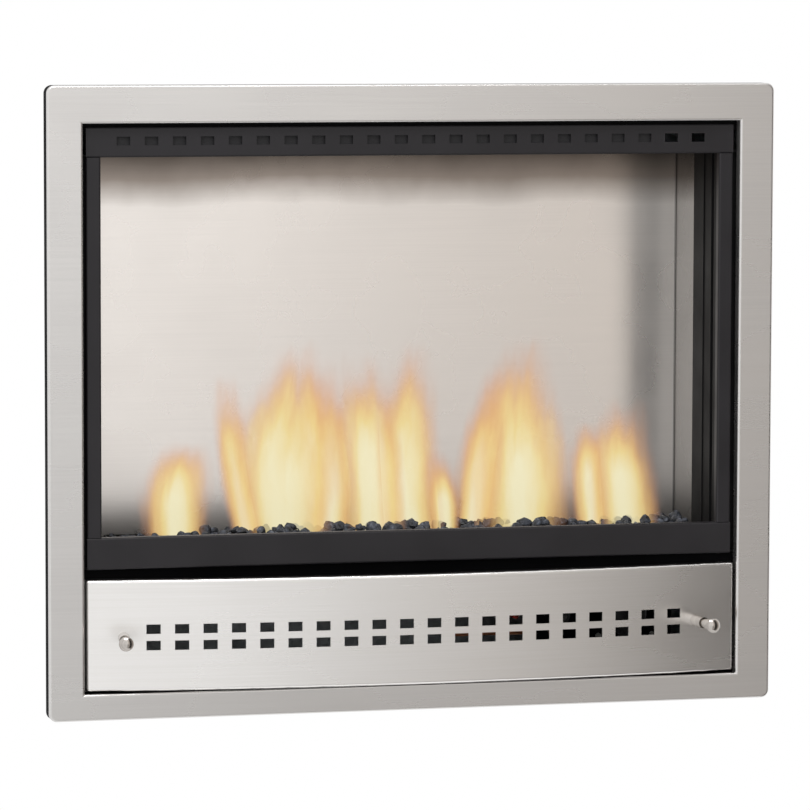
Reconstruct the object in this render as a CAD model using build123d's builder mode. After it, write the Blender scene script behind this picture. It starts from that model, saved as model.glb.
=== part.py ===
from build123d import *
import os
import random
from math import asin, cos, degrees, radians, sin, sqrt

# Hanging gas fireplace, in millimetres.
# X runs to the viewer's right, Y runs into the wall and Z is up.
# The origin is the centre of the wall bolts, on the face of the wall.
# Heights are measured up from the surround's lower edge and depths back from its face.

# Whole unit
frame_width = 915.0
frame_height = 771.0
overall_depth = 235.0
hang_height = 600.0
body_sheet = 1.2
fit_gap = 0.3

# Brushed steel surround
side_border = 44.0
top_border = 46.5
bottom_border = 32.6
corner_radius = 10.0
frame_sheet = 1.5
frame_bend = 3.0
frame_rim = 3.5
frame_return = 15.0
stud_radius = 2.0
stud_count = 4
stud_end_inset = 100.5
stud_nut_radius = 4.0
stud_nut_height = 3.2
stud_end = 2.0

# Black tray behind the surround and the casing that hangs from the wall
carrier_depth = 24.0
casing_inset = 37.5
casing_top_inset = 12.0
casing_bottom_inset = 12.0
casing_flange = 12.0
casing_edge_flange = 6.0
mouth_gap = 1.0
wall_gap = 12.0
intake_slot_length = 46.0
intake_slot_width = 6.0
intake_columns = 12
intake_rows = 2
intake_end_inset = 66.8
intake_pitch_y = 18.0
intake_centre_depth = 90.0
rivet_radius = 1.6
rivet_head_radius = 3.2
rivet_head_height = 1.2
rivet_count = 6
rivet_end_inset = 23.5
rivet_play = 0.05
seat_gap = 0.05

# Wall bracket, hook and lower spacers
bracket_share = 0.57
bracket_height = 60.0
bracket_sheet = 2.0
bracket_lip = 12.0
bolt_spacing_x = 400.0
bolt_spacing_z = 30.0
bolt_hole_radius = 4.0
hook_play = 1.0
hook_end_gap = 20.0
hook_drop = 26.0
hook_lip_gap = 2.0
spacer_radius = 15.0
spacer_chamfer = 1.5
spacer_inset = 90.0
spacer_height = 80.0

# Black trim round the fire
trim_depth = 11.0
trim_sheet = 1.5
trim_bend = 2.5
trim_gap = 5.5
strip_gap = 4.5
strip_height = 36.3
strip_top_return = 13.0
strip_slots = 22
strip_slot_end_inset = 45.75
strip_slot_width = 16.5
strip_slot_height = 10.5
strip_slot_drop = 16.6
jamb_width = 18.0
jamb_return = 11.0
rail_height = 39.2
rail_gap = 11.2
rail_top_return = 9.0
rail_bottom_return = 15.0
deflector_depth = 17.0
deflector_end_inset = 12.0
covered_slots = 20
upper_plate_overlap = 3.0

# Firebox
firebox_depth = 198.0
wall_proud = 1.5
black_wall_depth = 117.0
channel_front = 35.0
channel_width = 13.0
channel_recess = 4.0
lap_front = 75.5
back_corner_radius = 1.0
exhaust_slots = 10
exhaust_slot_length = 50.0
exhaust_slot_width = 8.0
exhaust_end_inset = 94.8
exhaust_depth = 150.0
shield_front = 82.0
shield_drop = 10.0
shield_inset = 40.0

# Burner
tray_front = 38.0
tray_width = 62.0
tray_end_gap = 19.5
tray_height = 30.0
grate_height = 18.0
grate_sheet = 1.2
grate_slot_length = 14.0
grate_slot_width = 8.0
grate_columns = 34
grate_rows = 3
grate_end_inset = 24.0
grate_pitch_y = 14.0
burner_radius = 8.0
burner_wall = 1.0
burner_end_gap = 15.0
port_radius = 1.5
port_count = 56
port_end_inset = 27.0
feed_hole_radius = 6.0
chip_columns = 58
chip_rows = 5
chip_short = 10.5
chip_tall = 21.5
chip_low_share = 0.155
chip_top_share = 0.62
chip_sides = 5
chip_least = 0.8
chip_seed = 11

# Gas line
mixer_x = 60.0
mixer_radius = 9.0
mixer_wall = 1.0
mixer_rise = 22.0
mixer_base = 3.0
mixer_collar_gap = 5.0
mixer_collar = 1.8
window_width = 8.0
window_height = 16.0
window_height_up = 12.0
shutter_play = 0.08
shutter_wall = 1.4
shutter_length = 28.0
shutter_tab = 8.0
shutter_tab_sheet = 2.0
injector_radius = 3.0
injector_length = 8.0
injector_hex = 7.0
injector_hex_height = 10.0
injector_orifice = 0.6
pipe_radius = 4.0
pipe_bend = 10.0
valve_x = 285.0
valve_height_up = 105.0
valve_width = 90.0
valve_body_height = 70.0
valve_body_depth = 70.0
valve_chamfer = 3.0
valve_boss_radius = 8.0
valve_boss = 8.0
valve_cap_radius = 12.0
valve_cap = 15.0
outlet_drop = 21.0
inlet_offset = 20.0
inlet_depth = 175.0
inlet_radius = 7.5
inlet_tail_length = 20.0
inlet_hex = 13.0
inlet_hex_height = 14.0
inlet_bore = 5.0
regulator_radius = 22.0
regulator_height = 24.0
regulator_neck = 9.0
regulator_chamfer = 3.0

# Controls behind the panel
plate_depth = 56.0
plate_sheet = 1.5
plate_left = 165.0
plate_right = 345.0
plate_height = 136.0
plate_foot = 24.0
spindle_radius = 4.0
spindle_play = 0.05
spindle_back = 5.0
spindle_bore = 12.0
collar_radius = 7.0
collar_thickness = 1.5
push_travel = 4.0
knob_gap = 12.0
knob_length = 20.0
knob_skirt = 6.0
knob_skirt_radius = 21.0
knob_grip_radius = 16.0
knob_grip_width = 11.0
knob_bore_depth = 14.0
knob_edge = 1.5
dial_radius = 28.0
dial_hole = 9.0
dial_sheet = 1.0
screw_spread_x = 70.0
screw_spread_z = 56.0
screw_radius = 2.0
screw_head_radius = 3.6
screw_head = 2.2
screw_length = 10.0
screw_play = 0.1
spring_wire = 0.7
spring_turns = 4
spring_mean_radius = 5.6
igniter_x = 200.0
igniter_radius = 9.0
igniter_length = 55.0
igniter_bezel_radius = 12.0
igniter_bezel = 6.0
igniter_bore = 6.9
igniter_bore_depth = 20.0
igniter_terminal = 1.7
igniter_terminal_length = 6.0
button_radius = 6.5
button_proud = 8.0
button_seat = 2.0
button_travel = 6.0
button_edge = 0.8
igniter_spring_wire = 1.0
igniter_spring_turns = 4
igniter_spring_radius = 5.4

# Pilot, standing on the firebox floor between rail and tray
pilot_x = 150.0
pilot_depth = 33.0
pilot_pitch = 11.0
pilot_plate_height = 14.0
pilot_plate_half = 20.0
pilot_plate_width = 9.0
pilot_radius = 3.6
pilot_height = 28.0
pilot_lift = 4.0
pilot_slot = 2.4
pilot_pipe_radius = 2.0
probe_radius = 2.0
probe_height = 26.0
lead_radius = 1.2
electrode_radius = 2.8
electrode_height = 20.0
electrode_tip_radius = 0.8
electrode_tip = 6.0
spark_lead_radius = 1.7
floor_hole_play = 0.5

# Bowed access panel
panel_gap = 2.8
panel_height = 136.4
panel_radius = 2908.0
panel_end_depth = 4.2
panel_sheet = 1.5
panel_flange = 14.0
panel_bend = 4.0
panel_slots = 20
panel_slot_end_inset = 80.1
panel_slot_width = 17.4
panel_slot_height = 11.6
panel_row_pitch = 20.0
panel_slot_drop = 2.3
left_knob_inset = 44.7
right_knob_inset = 51.7
pull_length = 60.0
pull_stem_radius = 7.0
pull_stem = 27.0
pull_neck_radius = 4.0
pull_neck = 2.5
pull_root_radius = 5.5
pull_head_radius = 9.0
pull_dome = 4.2
pull_edge = 0.8
pull_screw_radius = 2.0
pull_screw_head = 5.0
pull_screw_head_height = 3.0
pull_screw_depth = 14.0
lug_width = 26.0
lug_height = 84.0
lug_arm = 10.0
pin_radius = 3.0
pin_length = 14.0
pin_play = 0.3
pin_spread = 56.0
pin_inset = 14.0
pin_chamfer = 1.0
bay_depth = 20.0
bay_inset = 25.0
bay_sill = 9.0
bay_lintel = 10.0
bay_return = 10.0
magnet_width = 18.0
magnet_height = 20.0
magnet_gap = 0.3

# Sizes worked out from those above
opening_half = frame_width / 2 - side_border
opening_bottom = bottom_border
opening_top = frame_height - top_border
opening_height = opening_top - opening_bottom
opening_mid = (opening_top + opening_bottom) / 2
casing_half = frame_width / 2 - casing_inset
casing_bottom_height = casing_bottom_inset
casing_top_height = frame_height - casing_top_inset
inner_half = casing_half - body_sheet
casing_height = casing_top_height - casing_bottom_height
stud_pitch = (frame_height - 2 * stud_end_inset) / (stud_count - 1)
rivet_pitch = (casing_height - 2 * rivet_end_inset) / (rivet_count - 1)
intake_pitch_x = 2 * (inner_half - intake_end_inset) / (intake_columns - 1)
spacer_x = casing_half - spacer_inset
bracket_width = bracket_share * frame_width
hook_width = bracket_width - 2 * hook_end_gap
trim_half = opening_half - trim_gap
strip_slot_pitch = 2 * (trim_half - strip_slot_end_inset) / (strip_slots - 1)
strip_top = opening_top - strip_gap
strip_bottom = strip_top - strip_height
panel_bottom = opening_bottom + panel_gap
panel_top = panel_bottom + panel_height
rail_bottom = panel_top + rail_gap
rail_top = rail_bottom + rail_height
trim_back = trim_depth + trim_sheet
jamb_back = trim_depth + jamb_return
jamb_inner = trim_half - jamb_width
firebox_half = jamb_inner + wall_proud
exhaust_pitch = 2 * (inner_half - exhaust_end_inset) / (exhaust_slots - 1)
tray_half_length = firebox_half - tray_end_gap
floor_bottom = rail_bottom + trim_sheet
floor_top = floor_bottom + body_sheet
hood_bottom = strip_bottom + trim_sheet
hood_top = hood_bottom + body_sheet
tray_back = tray_front + tray_width
tray_floor = floor_top + body_sheet
burner_depth = tray_front + tray_width / 2
burner_height = tray_floor + fit_gap + burner_radius
grate_top = tray_floor + grate_height + grate_sheet
plate_back = plate_depth + plate_sheet
outlet_height = valve_height_up - outlet_drop
mixer_bottom = outlet_height + mixer_rise
hook_reach = 3 * bracket_sheet + 2 * hook_play
lip_top = bracket_height / 2 + bracket_lip
slot_centre = panel_bottom + panel_height / 2 - panel_slot_drop
panel_half = opening_half - panel_gap
panel_slot_pitch = 2 * (panel_half - panel_slot_end_inset) / (panel_slots - 1)
left_knob_x = left_knob_inset - panel_half
right_knob_x = panel_half - right_knob_inset


# Height above the surround's lower edge, as a place on Z
def up(height):
    return height - hang_height


# Depth behind the surround's face, as a place on Y
def back(distance):
    return distance - overall_depth


# A plane parallel to the surround's face, looking out at the viewer
def face_plane(distance):
    return Plane.XZ.offset(-back(distance))


# A level plane at a height above the surround's lower edge
def level_plane(height):
    return Plane.XY.offset(up(height))


# Adds or cuts a flat block between two limits on each axis
def slab(x0, x1, y0, y1, z0, z1, mode=Mode.ADD):
    with Locations(((x0 + x1) / 2, (y0 + y1) / 2, (z0 + z1) / 2)):
        Box(abs(x1 - x0), abs(y1 - y0), abs(z1 - z0), mode=mode)


# A round bar bent along straight runs joined by arcs
def bent_bar(points, bend, radius):
    with BuildPart() as bar:
        with BuildLine() as route:
            FilletPolyline(*points, radius=bend)
        run = route.wires()[0]
        with BuildSketch(Plane(origin=run @ 0, z_dir=run % 0)):
            Circle(radius)
        sweep()
    return bar


# A wire spring along Y that ends at a seat depth, drawn at the length it has when pressed
def coil_spring(x, seat, height, mean_radius, wire, room, turns):
    rise = room - wire
    start = back(seat) - rise - wire / 2
    print("spring gap between turns", round(rise / turns - wire, 2))
    with BuildPart() as coil:
        with BuildLine() as turns_line:
            Helix(rise / turns, rise, mean_radius, center=(x, start, up(height)), direction=(0, 1, 0))
        run = turns_line.wires()[0]
        with BuildSketch(Plane(origin=run @ 0, z_dir=run % 0)):
            Circle(wire / 2)
        sweep()
    return coil


# Names a finished piece and writes it
def save(piece, label):
    piece.part.label = label
    export_step(piece.part, f"parts/{label}.step")


os.makedirs("parts", exist_ok=True)

casing_low = up(casing_bottom_height)
casing_high = up(casing_top_height)
casing_front = back(carrier_depth)
back_sheet_front = -wall_gap - body_sheet
rivet_x = casing_half - casing_flange / 2
rivet_mid = up(frame_height / 2)

# Wall bracket: a plate with four bolt holes and an upturned hook along its top edge
with BuildPart() as wall_bracket:
    half = bracket_width / 2
    ledge = bracket_height / 2 - bracket_sheet
    slab(-half, half, -bracket_sheet, 0, -bracket_height / 2, bracket_height / 2)
    slab(-half, half, -hook_reach, 0, ledge, bracket_height / 2)
    slab(-half, half, -hook_reach, bracket_sheet - hook_reach, ledge, lip_top)
    with BuildSketch(Plane.XZ):
        with GridLocations(bolt_spacing_x, bolt_spacing_z, 2, 2):
            Circle(bolt_hole_radius)
    extrude(amount=bracket_sheet, mode=Mode.SUBTRACT)
save(wall_bracket, "wall_bracket")

# Hook on the casing's back: hangs over the bracket's lip
with BuildPart() as casing_hook:
    half = hook_width / 2
    lip_back = -bracket_sheet - hook_play
    slab(-half, half, -wall_gap, bracket_sheet - wall_gap, lip_top - hook_drop, lip_top)
    slab(-half, half, -wall_gap, lip_back, lip_top, lip_top + bracket_sheet)
    slab(-half, half, lip_back - bracket_sheet, lip_back, bracket_height / 2 + hook_lip_gap, lip_top)
save(casing_hook, "casing_hook")

# Rubber spacers that keep the casing's lower edge off the wall
with BuildPart() as wall_spacers:
    with BuildSketch(Plane.XZ):
        with Locations((-spacer_x, up(spacer_height)), (spacer_x, up(spacer_height))):
            Circle(spacer_radius)
    extrude(amount=wall_gap)
    chamfer(wall_spacers.faces().sort_by(Axis.Y)[-1].edges(), spacer_chamfer)
    chamfer(wall_spacers.faces().sort_by(Axis.Y)[-2].edges(), spacer_chamfer)
save(wall_spacers, "wall_spacers")

# Surround: folded sheet with a short outer rim and a deep return round the opening
with BuildPart() as surround_frame:
    with BuildSketch(face_plane(0)):
        with Locations((0, up(frame_height / 2))):
            RectangleRounded(frame_width, frame_height, corner_radius)
    extrude(amount=-frame_rim)
    with BuildSketch(face_plane(frame_sheet)):
        with Locations((0, up(frame_height / 2))):
            RectangleRounded(
                frame_width - 2 * frame_sheet, frame_height - 2 * frame_sheet, corner_radius - frame_sheet
            )
    extrude(amount=-frame_rim, mode=Mode.SUBTRACT)
    with BuildSketch(face_plane(0)):
        with Locations((0, up(opening_mid))):
            Rectangle(2 * (opening_half + frame_sheet), opening_height + 2 * frame_sheet)
    extrude(amount=-frame_return)
    with BuildSketch(face_plane(0)):
        with Locations((0, up(opening_mid))):
            Rectangle(2 * opening_half, opening_height)
    extrude(amount=-frame_return, mode=Mode.SUBTRACT)
    fillet(surround_frame.faces().sort_by(Axis.Y)[0].edges(), frame_bend)
save(surround_frame, "surround_frame")

# Studs on the back of the surround, each with its nut behind the tray's flange
stud_x = (frame_width / 2 + casing_half) / 2
stud_places = [
    (side * stud_x, up(frame_height / 2) + (index - (stud_count - 1) / 2) * stud_pitch)
    for side in (-1, 1)
    for index in range(stud_count)
]
with BuildPart() as frame_studs:
    with BuildSketch(face_plane(frame_sheet)):
        with Locations(*stud_places):
            Circle(stud_radius)
    extrude(amount=-(carrier_depth + stud_nut_height + stud_end - frame_sheet))
    with BuildSketch(face_plane(carrier_depth)):
        with Locations(*stud_places):
            RegularPolygon(stud_nut_radius, 6)
    extrude(amount=-stud_nut_height)
save(frame_studs, "frame_studs")

# Tray behind the surround's rim: the black edge that shows from the side
carrier_inset = fit_gap / 2
carrier_front = frame_rim + seat_gap
with BuildPart() as surround_carrier:
    with BuildSketch(face_plane(carrier_front)):
        with Locations((0, up(frame_height / 2))):
            RectangleRounded(
                frame_width - 2 * carrier_inset, frame_height - 2 * carrier_inset,
                corner_radius - carrier_inset,
            )
    extrude(amount=-(carrier_depth - carrier_front))
    with BuildSketch(face_plane(carrier_front)):
        with Locations((0, up(frame_height / 2))):
            RectangleRounded(
                frame_width - 2 * (carrier_inset + body_sheet),
                frame_height - 2 * (carrier_inset + body_sheet),
                corner_radius - carrier_inset - body_sheet,
            )
    extrude(amount=-(carrier_depth - carrier_front - body_sheet), mode=Mode.SUBTRACT)
    mouth = casing_half + mouth_gap
    slab(
        -mouth, mouth, back(0), back(2 * carrier_depth),
        casing_low - mouth_gap, casing_high + mouth_gap, Mode.SUBTRACT,
    )
    with BuildSketch(face_plane(0)):
        with Locations(*stud_places):
            Circle(stud_radius + fit_gap)
    extrude(amount=-2 * carrier_depth, mode=Mode.SUBTRACT)
save(surround_carrier, "surround_carrier")

# Casing sides, each with a front flange on the tray and a rear flange for the back sheet
for side, label in ((-1, "casing_left"), (1, "casing_right")):
    with BuildPart() as casing_side:
        outer = side * casing_half
        slab(side * inner_half, outer, casing_front, back_sheet_front, casing_low, casing_high)
        flange_edge = outer + side * casing_flange
        slab(outer, flange_edge, casing_front, casing_front + body_sheet, casing_low, casing_high)
        rear_edge = outer - side * casing_flange
        slab(
            outer, rear_edge, back_sheet_front - body_sheet, back_sheet_front,
            casing_low + body_sheet, casing_high - body_sheet,
        )
        with BuildSketch(Plane.XZ.offset(wall_gap)):
            with Locations((side * rivet_x, rivet_mid)):
                with GridLocations(0, rivet_pitch, 1, rivet_count):
                    Circle(rivet_radius + rivet_play)
        extrude(amount=3 * body_sheet, mode=Mode.SUBTRACT)
    save(casing_side, label)

# Casing top, with its front flange against the tray
with BuildPart() as casing_top:
    slab(-inner_half, inner_half, casing_front, back_sheet_front, casing_high - body_sheet, casing_high)
    flange_top = casing_high + casing_edge_flange
    slab(-inner_half, inner_half, casing_front, casing_front + body_sheet, casing_high, flange_top)
save(casing_top, "casing_top")

# Casing bottom, with the air intake slots and the hole for the gas inlet
inlet_x = valve_x + inlet_offset
with BuildPart() as casing_bottom:
    slab(-inner_half, inner_half, casing_front, back_sheet_front, casing_low, casing_low + body_sheet)
    flange_low = casing_low - casing_edge_flange
    slab(-inner_half, inner_half, casing_front, casing_front + body_sheet, flange_low, casing_low)
    with BuildSketch(level_plane(casing_bottom_height)):
        with Locations((0, back(intake_centre_depth + plate_foot))):
            with GridLocations(intake_pitch_x, intake_pitch_y, intake_columns, intake_rows):
                SlotOverall(intake_slot_length, intake_slot_width)
        with Locations((inlet_x, back(inlet_depth))):
            Circle(inlet_radius + mouth_gap)
    extrude(amount=body_sheet, mode=Mode.SUBTRACT)
save(casing_bottom, "casing_bottom")

# Casing back, riveted to the sides
with BuildPart() as casing_back:
    slab(-casing_half, casing_half, back_sheet_front, -wall_gap, casing_low, casing_high)
    with BuildSketch(Plane.XZ.offset(wall_gap)):
        with Locations((-rivet_x, rivet_mid), (rivet_x, rivet_mid)):
            with GridLocations(0, rivet_pitch, 1, rivet_count):
                Circle(rivet_radius + rivet_play)
    extrude(amount=body_sheet, mode=Mode.SUBTRACT)
save(casing_back, "casing_back")

with BuildPart() as casing_rivets:
    with BuildSketch(Plane.XZ.offset(wall_gap)):
        with Locations((-rivet_x, rivet_mid), (rivet_x, rivet_mid)):
            with GridLocations(0, rivet_pitch, 1, rivet_count):
                Circle(rivet_radius)
    extrude(amount=2 * body_sheet)
    with BuildSketch(Plane.XZ.offset(wall_gap)):
        with Locations((-rivet_x, rivet_mid), (rivet_x, rivet_mid)):
            with GridLocations(0, rivet_pitch, 1, rivet_count):
                Circle(rivet_head_radius)
    extrude(amount=-rivet_head_height)
save(casing_rivets, "casing_rivets")

# Slotted strip over the fire: warm air leaves here
strip_slot_height_up = strip_top - strip_slot_drop
with BuildPart() as louvre_strip:
    slab(-trim_half, trim_half, back(trim_depth), back(jamb_back), up(strip_bottom), up(strip_top))
    slab(
        -trim_half, trim_half, back(trim_back), back(jamb_back),
        up(strip_bottom + trim_sheet), up(strip_top - trim_sheet), Mode.SUBTRACT,
    )
    slab(
        -trim_half, trim_half, back(trim_back), back(trim_depth + strip_top_return),
        up(strip_top - trim_sheet), up(strip_top),
    )
    front_edges = louvre_strip.faces().sort_by(Axis.Y)[0].edges().filter_by(Axis.X)
    fillet(front_edges, trim_bend)
    with BuildSketch(face_plane(trim_depth)):
        with Locations((0, up(strip_slot_height_up))):
            with GridLocations(strip_slot_pitch, 0, strip_slots, 1):
                Rectangle(strip_slot_width, strip_slot_height)
    extrude(amount=-trim_sheet, mode=Mode.SUBTRACT)
save(louvre_strip, "louvre_strip")

# Deflector behind the slots, short of the last two on the right
covered_end = (covered_slots - strip_slots / 2) * strip_slot_pitch
with BuildPart() as deflector_plate:
    slab(
        deflector_end_inset - trim_half, covered_end,
        back(deflector_depth), back(deflector_depth + body_sheet),
        up(hood_top + fit_gap), up(strip_top - trim_sheet),
    )
save(deflector_plate, "deflector_plate")

# Plate that closes the casing above the strip
with BuildPart() as upper_front_plate:
    slab(
        -inner_half, inner_half, casing_front, casing_front + body_sheet,
        up(strip_slot_height_up + strip_slot_height / 2 + upper_plate_overlap), casing_high - body_sheet,
    )
save(upper_front_plate, "upper_front_plate")

# Jambs: channels that stand between the rail and the strip
for side, label in ((-1, "left_jamb"), (1, "right_jamb")):
    with BuildPart() as jamb:
        slab(
            side * jamb_inner, side * trim_half, back(trim_depth), back(jamb_back),
            up(rail_top), up(strip_bottom),
        )
        slab(
            side * (jamb_inner + trim_sheet), side * (trim_half - trim_sheet),
            back(trim_back), back(jamb_back), up(rail_top), up(strip_bottom), Mode.SUBTRACT,
        )
        fillet(jamb.faces().sort_by(Axis.Y)[0].edges().filter_by(Axis.Z), trim_bend)
    save(jamb, label)

# Rail under the fire: its lower return carries the firebox floor
with BuildPart() as bottom_rail:
    slab(-trim_half, trim_half, back(trim_depth), back(trim_back), up(rail_bottom), up(rail_top))
    slab(
        -trim_half, trim_half, back(trim_depth), back(trim_back + rail_top_return),
        up(rail_top - trim_sheet), up(rail_top),
    )
    slab(
        -trim_half, trim_half, back(trim_depth), back(trim_back + rail_bottom_return),
        up(rail_bottom), up(rail_bottom + trim_sheet),
    )
    fillet(bottom_rail.faces().sort_by(Axis.Y)[0].edges().filter_by(Axis.X), trim_bend)
save(bottom_rail, "bottom_rail")

# Black side walls: a guide channel near the front and a lapped sheet behind it
for side, label in ((-1, "left_side_wall"), (1, "right_side_wall")):
    with BuildPart() as side_wall:
        skin = side * firebox_half
        skin_back = side * (firebox_half + body_sheet)
        groove = side * (firebox_half + channel_recess)
        groove_back = side * (firebox_half + channel_recess + body_sheet)
        low, high = up(floor_top), up(hood_bottom)
        channel_back = channel_front + channel_width
        slab(skin, skin_back, back(jamb_back), back(channel_front + body_sheet), low, high)
        slab(skin, groove_back, back(channel_front), back(channel_front + body_sheet), low, high)
        slab(groove, groove_back, back(channel_front), back(channel_back), low, high)
        slab(skin, groove_back, back(channel_back - body_sheet), back(channel_back), low, high)
        slab(skin, skin_back, back(channel_back - body_sheet), back(black_wall_depth), low, high)
        slab(skin - side * body_sheet, skin, back(lap_front), back(black_wall_depth), low, high)
        slab(skin, side * inner_half, back(jamb_back), back(jamb_back + body_sheet), low, high)
        slab(skin, side * inner_half, back(black_wall_depth - body_sheet), back(black_wall_depth), low, high)
    save(side_wall, label)

# Steel back of the firebox with its side returns
with BuildPart() as firebox_back:
    outer = firebox_half + body_sheet
    slab(
        -outer, outer, back(black_wall_depth), back(firebox_depth + body_sheet),
        up(floor_top), up(hood_bottom),
    )
    slab(
        -firebox_half, firebox_half, back(black_wall_depth), back(firebox_depth),
        up(floor_top), up(hood_bottom), Mode.SUBTRACT,
    )
    corner_edges = [
        edge for edge in firebox_back.edges().filter_by(Axis.Z)
        if abs(edge.center().Y - back(firebox_depth)) < body_sheet / 2
    ]
    fillet(corner_edges, back_corner_radius)
    for side in (-1, 1):
        slab(
            side * outer, side * inner_half, back(black_wall_depth), back(black_wall_depth + body_sheet),
            up(floor_top), up(hood_bottom),
        )
save(firebox_back, "firebox_back")

# Hood over the fire, with the slots that let the burnt gas into the warm air path
with BuildPart() as firebox_hood:
    slab(
        -inner_half, inner_half, back(frame_return + fit_gap), back(firebox_depth + body_sheet),
        up(hood_bottom), up(hood_top),
    )
    with BuildSketch(level_plane(hood_bottom)):
        with Locations((0, back(exhaust_depth))):
            with GridLocations(exhaust_pitch, 0, exhaust_slots, 1):
                SlotOverall(exhaust_slot_length, exhaust_slot_width)
    extrude(amount=body_sheet, mode=Mode.SUBTRACT)
save(firebox_hood, "firebox_hood")

# Firebox floor, pierced for the gas feed and the pilot's three lines
probe_x = pilot_x + pilot_pitch
electrode_x = pilot_x - pilot_pitch
with BuildPart() as firebox_floor:
    slab(
        -inner_half, inner_half, back(frame_return + fit_gap), back(firebox_depth + body_sheet),
        up(floor_bottom), up(floor_top),
    )
    with BuildSketch(level_plane(floor_bottom)):
        with Locations((mixer_x, back(burner_depth))):
            Circle(mixer_radius + fit_gap)
        with Locations((pilot_x, back(pilot_depth))):
            Circle(pilot_pipe_radius + floor_hole_play)
        with Locations((probe_x, back(pilot_depth))):
            Circle(lead_radius + floor_hole_play)
        with Locations((electrode_x, back(pilot_depth))):
            Circle(spark_lead_radius + floor_hole_play)
    extrude(amount=body_sheet, mode=Mode.SUBTRACT)
save(firebox_floor, "firebox_floor")

# Heat shield hung from the floor over the controls
with BuildPart() as heat_shield:
    half = inner_half - shield_inset
    low = floor_bottom - shield_drop
    slab(-half, half, back(shield_front), back(firebox_depth), up(low), up(low + body_sheet))
    for side in (-1, 1):
        slab(
            side * half, side * (half - body_sheet), back(shield_front), back(firebox_depth),
            up(low), up(floor_bottom),
        )
save(heat_shield, "heat_shield")

# Control bay front: the panel's pins and magnets meet it
bay_half = inner_half - bay_inset
bay_low = panel_bottom + bay_sill
bay_high = panel_top - bay_lintel
pin_x = panel_half - panel_sheet - pin_inset
pin_places = [
    (side * pin_x, up(slot_centre) + level * pin_spread / 2) for side in (-1, 1) for level in (-1, 1)
]
with BuildPart() as bay_frame:
    bay_back = back(bay_depth + bay_return)
    slab(-inner_half, inner_half, back(bay_depth), bay_back, casing_low + body_sheet, up(rail_bottom))
    slab(
        body_sheet - inner_half, inner_half - body_sheet, back(bay_depth + body_sheet), bay_back,
        casing_low + 2 * body_sheet, up(rail_bottom - body_sheet), Mode.SUBTRACT,
    )
    slab(-bay_half, bay_half, back(bay_depth), bay_back, up(bay_low), up(bay_high), Mode.SUBTRACT)
    with BuildSketch(face_plane(bay_depth)):
        with Locations(*pin_places):
            Circle(pin_radius + pin_play)
    extrude(amount=-body_sheet, mode=Mode.SUBTRACT)
save(bay_frame, "bay_frame")

# Burner tray
with BuildPart() as burner_tray:
    slab(
        -tray_half_length, tray_half_length, back(tray_front), back(tray_back),
        up(floor_top), up(floor_top + tray_height),
    )
    slab(
        body_sheet - tray_half_length, tray_half_length - body_sheet,
        back(tray_front + body_sheet), back(tray_back - body_sheet),
        up(tray_floor), up(floor_top + tray_height), Mode.SUBTRACT,
    )
    with BuildSketch(level_plane(floor_top)):
        with Locations((mixer_x, back(burner_depth))):
            Circle(mixer_radius + fit_gap)
    extrude(amount=body_sheet, mode=Mode.SUBTRACT)
save(burner_tray, "burner_tray")

# Slotted grate that carries the charcoal, standing on its long folded edges
grate_half = tray_half_length - body_sheet - fit_gap
grate_front = tray_front + body_sheet + fit_gap
grate_back = tray_back - body_sheet - fit_gap
grate_pitch_x = 2 * (grate_half - grate_end_inset) / (grate_columns - 1)
with BuildPart() as rock_grate:
    slab(-grate_half, grate_half, back(grate_front), back(grate_back), up(tray_floor), up(grate_top))
    slab(
        -grate_half, grate_half, back(grate_front + grate_sheet), back(grate_back - grate_sheet),
        up(tray_floor), up(grate_top - grate_sheet), Mode.SUBTRACT,
    )
    with BuildSketch(level_plane(grate_top - grate_sheet)):
        with Locations((0, back(burner_depth))):
            with GridLocations(grate_pitch_x, grate_pitch_y, grate_columns, grate_rows):
                Rectangle(grate_slot_length, grate_slot_width)
    extrude(amount=grate_sheet, mode=Mode.SUBTRACT)
save(rock_grate, "rock_grate")

# Burner tube with its row of flame ports
burner_half = tray_half_length - burner_end_gap
port_pitch = 2 * (burner_half - port_end_inset) / (port_count - 1)
burner_end = Plane.YZ.offset(-burner_half)
with BuildPart() as burner_tube:
    with BuildSketch(burner_end):
        with Locations((back(burner_depth), up(burner_height))):
            Circle(burner_radius)
    extrude(amount=2 * burner_half)
    with BuildSketch(burner_end.offset(burner_wall)):
        with Locations((back(burner_depth), up(burner_height))):
            Circle(burner_radius - burner_wall)
    extrude(amount=2 * (burner_half - burner_wall), mode=Mode.SUBTRACT)
    with BuildSketch(level_plane(burner_height)):
        with Locations((0, back(burner_depth))):
            with GridLocations(port_pitch, 0, port_count, 1):
                Circle(port_radius)
    extrude(amount=burner_radius, mode=Mode.SUBTRACT)
    with BuildSketch(level_plane(burner_height)):
        with Locations((mixer_x, back(burner_depth))):
            Circle(feed_hole_radius)
    extrude(amount=-burner_radius, mode=Mode.SUBTRACT)
save(burner_tube, "burner_tube")

# Charcoal: faceted lumps packed on the grate, lowest at the far left
chance = random.Random(chip_seed)
cell_x = 2 * grate_half / chip_columns
cell_y = (grate_back - grate_front) / chip_rows
chip_low_side = 2 * grate_half * chip_low_share - grate_half


# One lump: two uneven outlines, the upper one smaller and turned
def charcoal_lump(x, y, reach_x, reach_y, height):
    outlines = []
    for share, level in ((1.0, 0.0), (chip_top_share, height)):
        turn = chance.uniform(0, 360 / chip_sides)
        corners = []
        for step in range(chip_sides):
            angle = radians(turn + 360 * step / chip_sides)
            reach = share * chance.uniform(chip_least, 1.0)
            corners.append((x + reach_x * reach * cos(angle), y + reach_y * reach * sin(angle), level))
        outlines.append(Face(Wire.make_polygon([Vector(*corner) for corner in corners], close=True)))
    return loft(outlines, ruled=True).moved(Location((0, 0, up(grate_top))))


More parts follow.
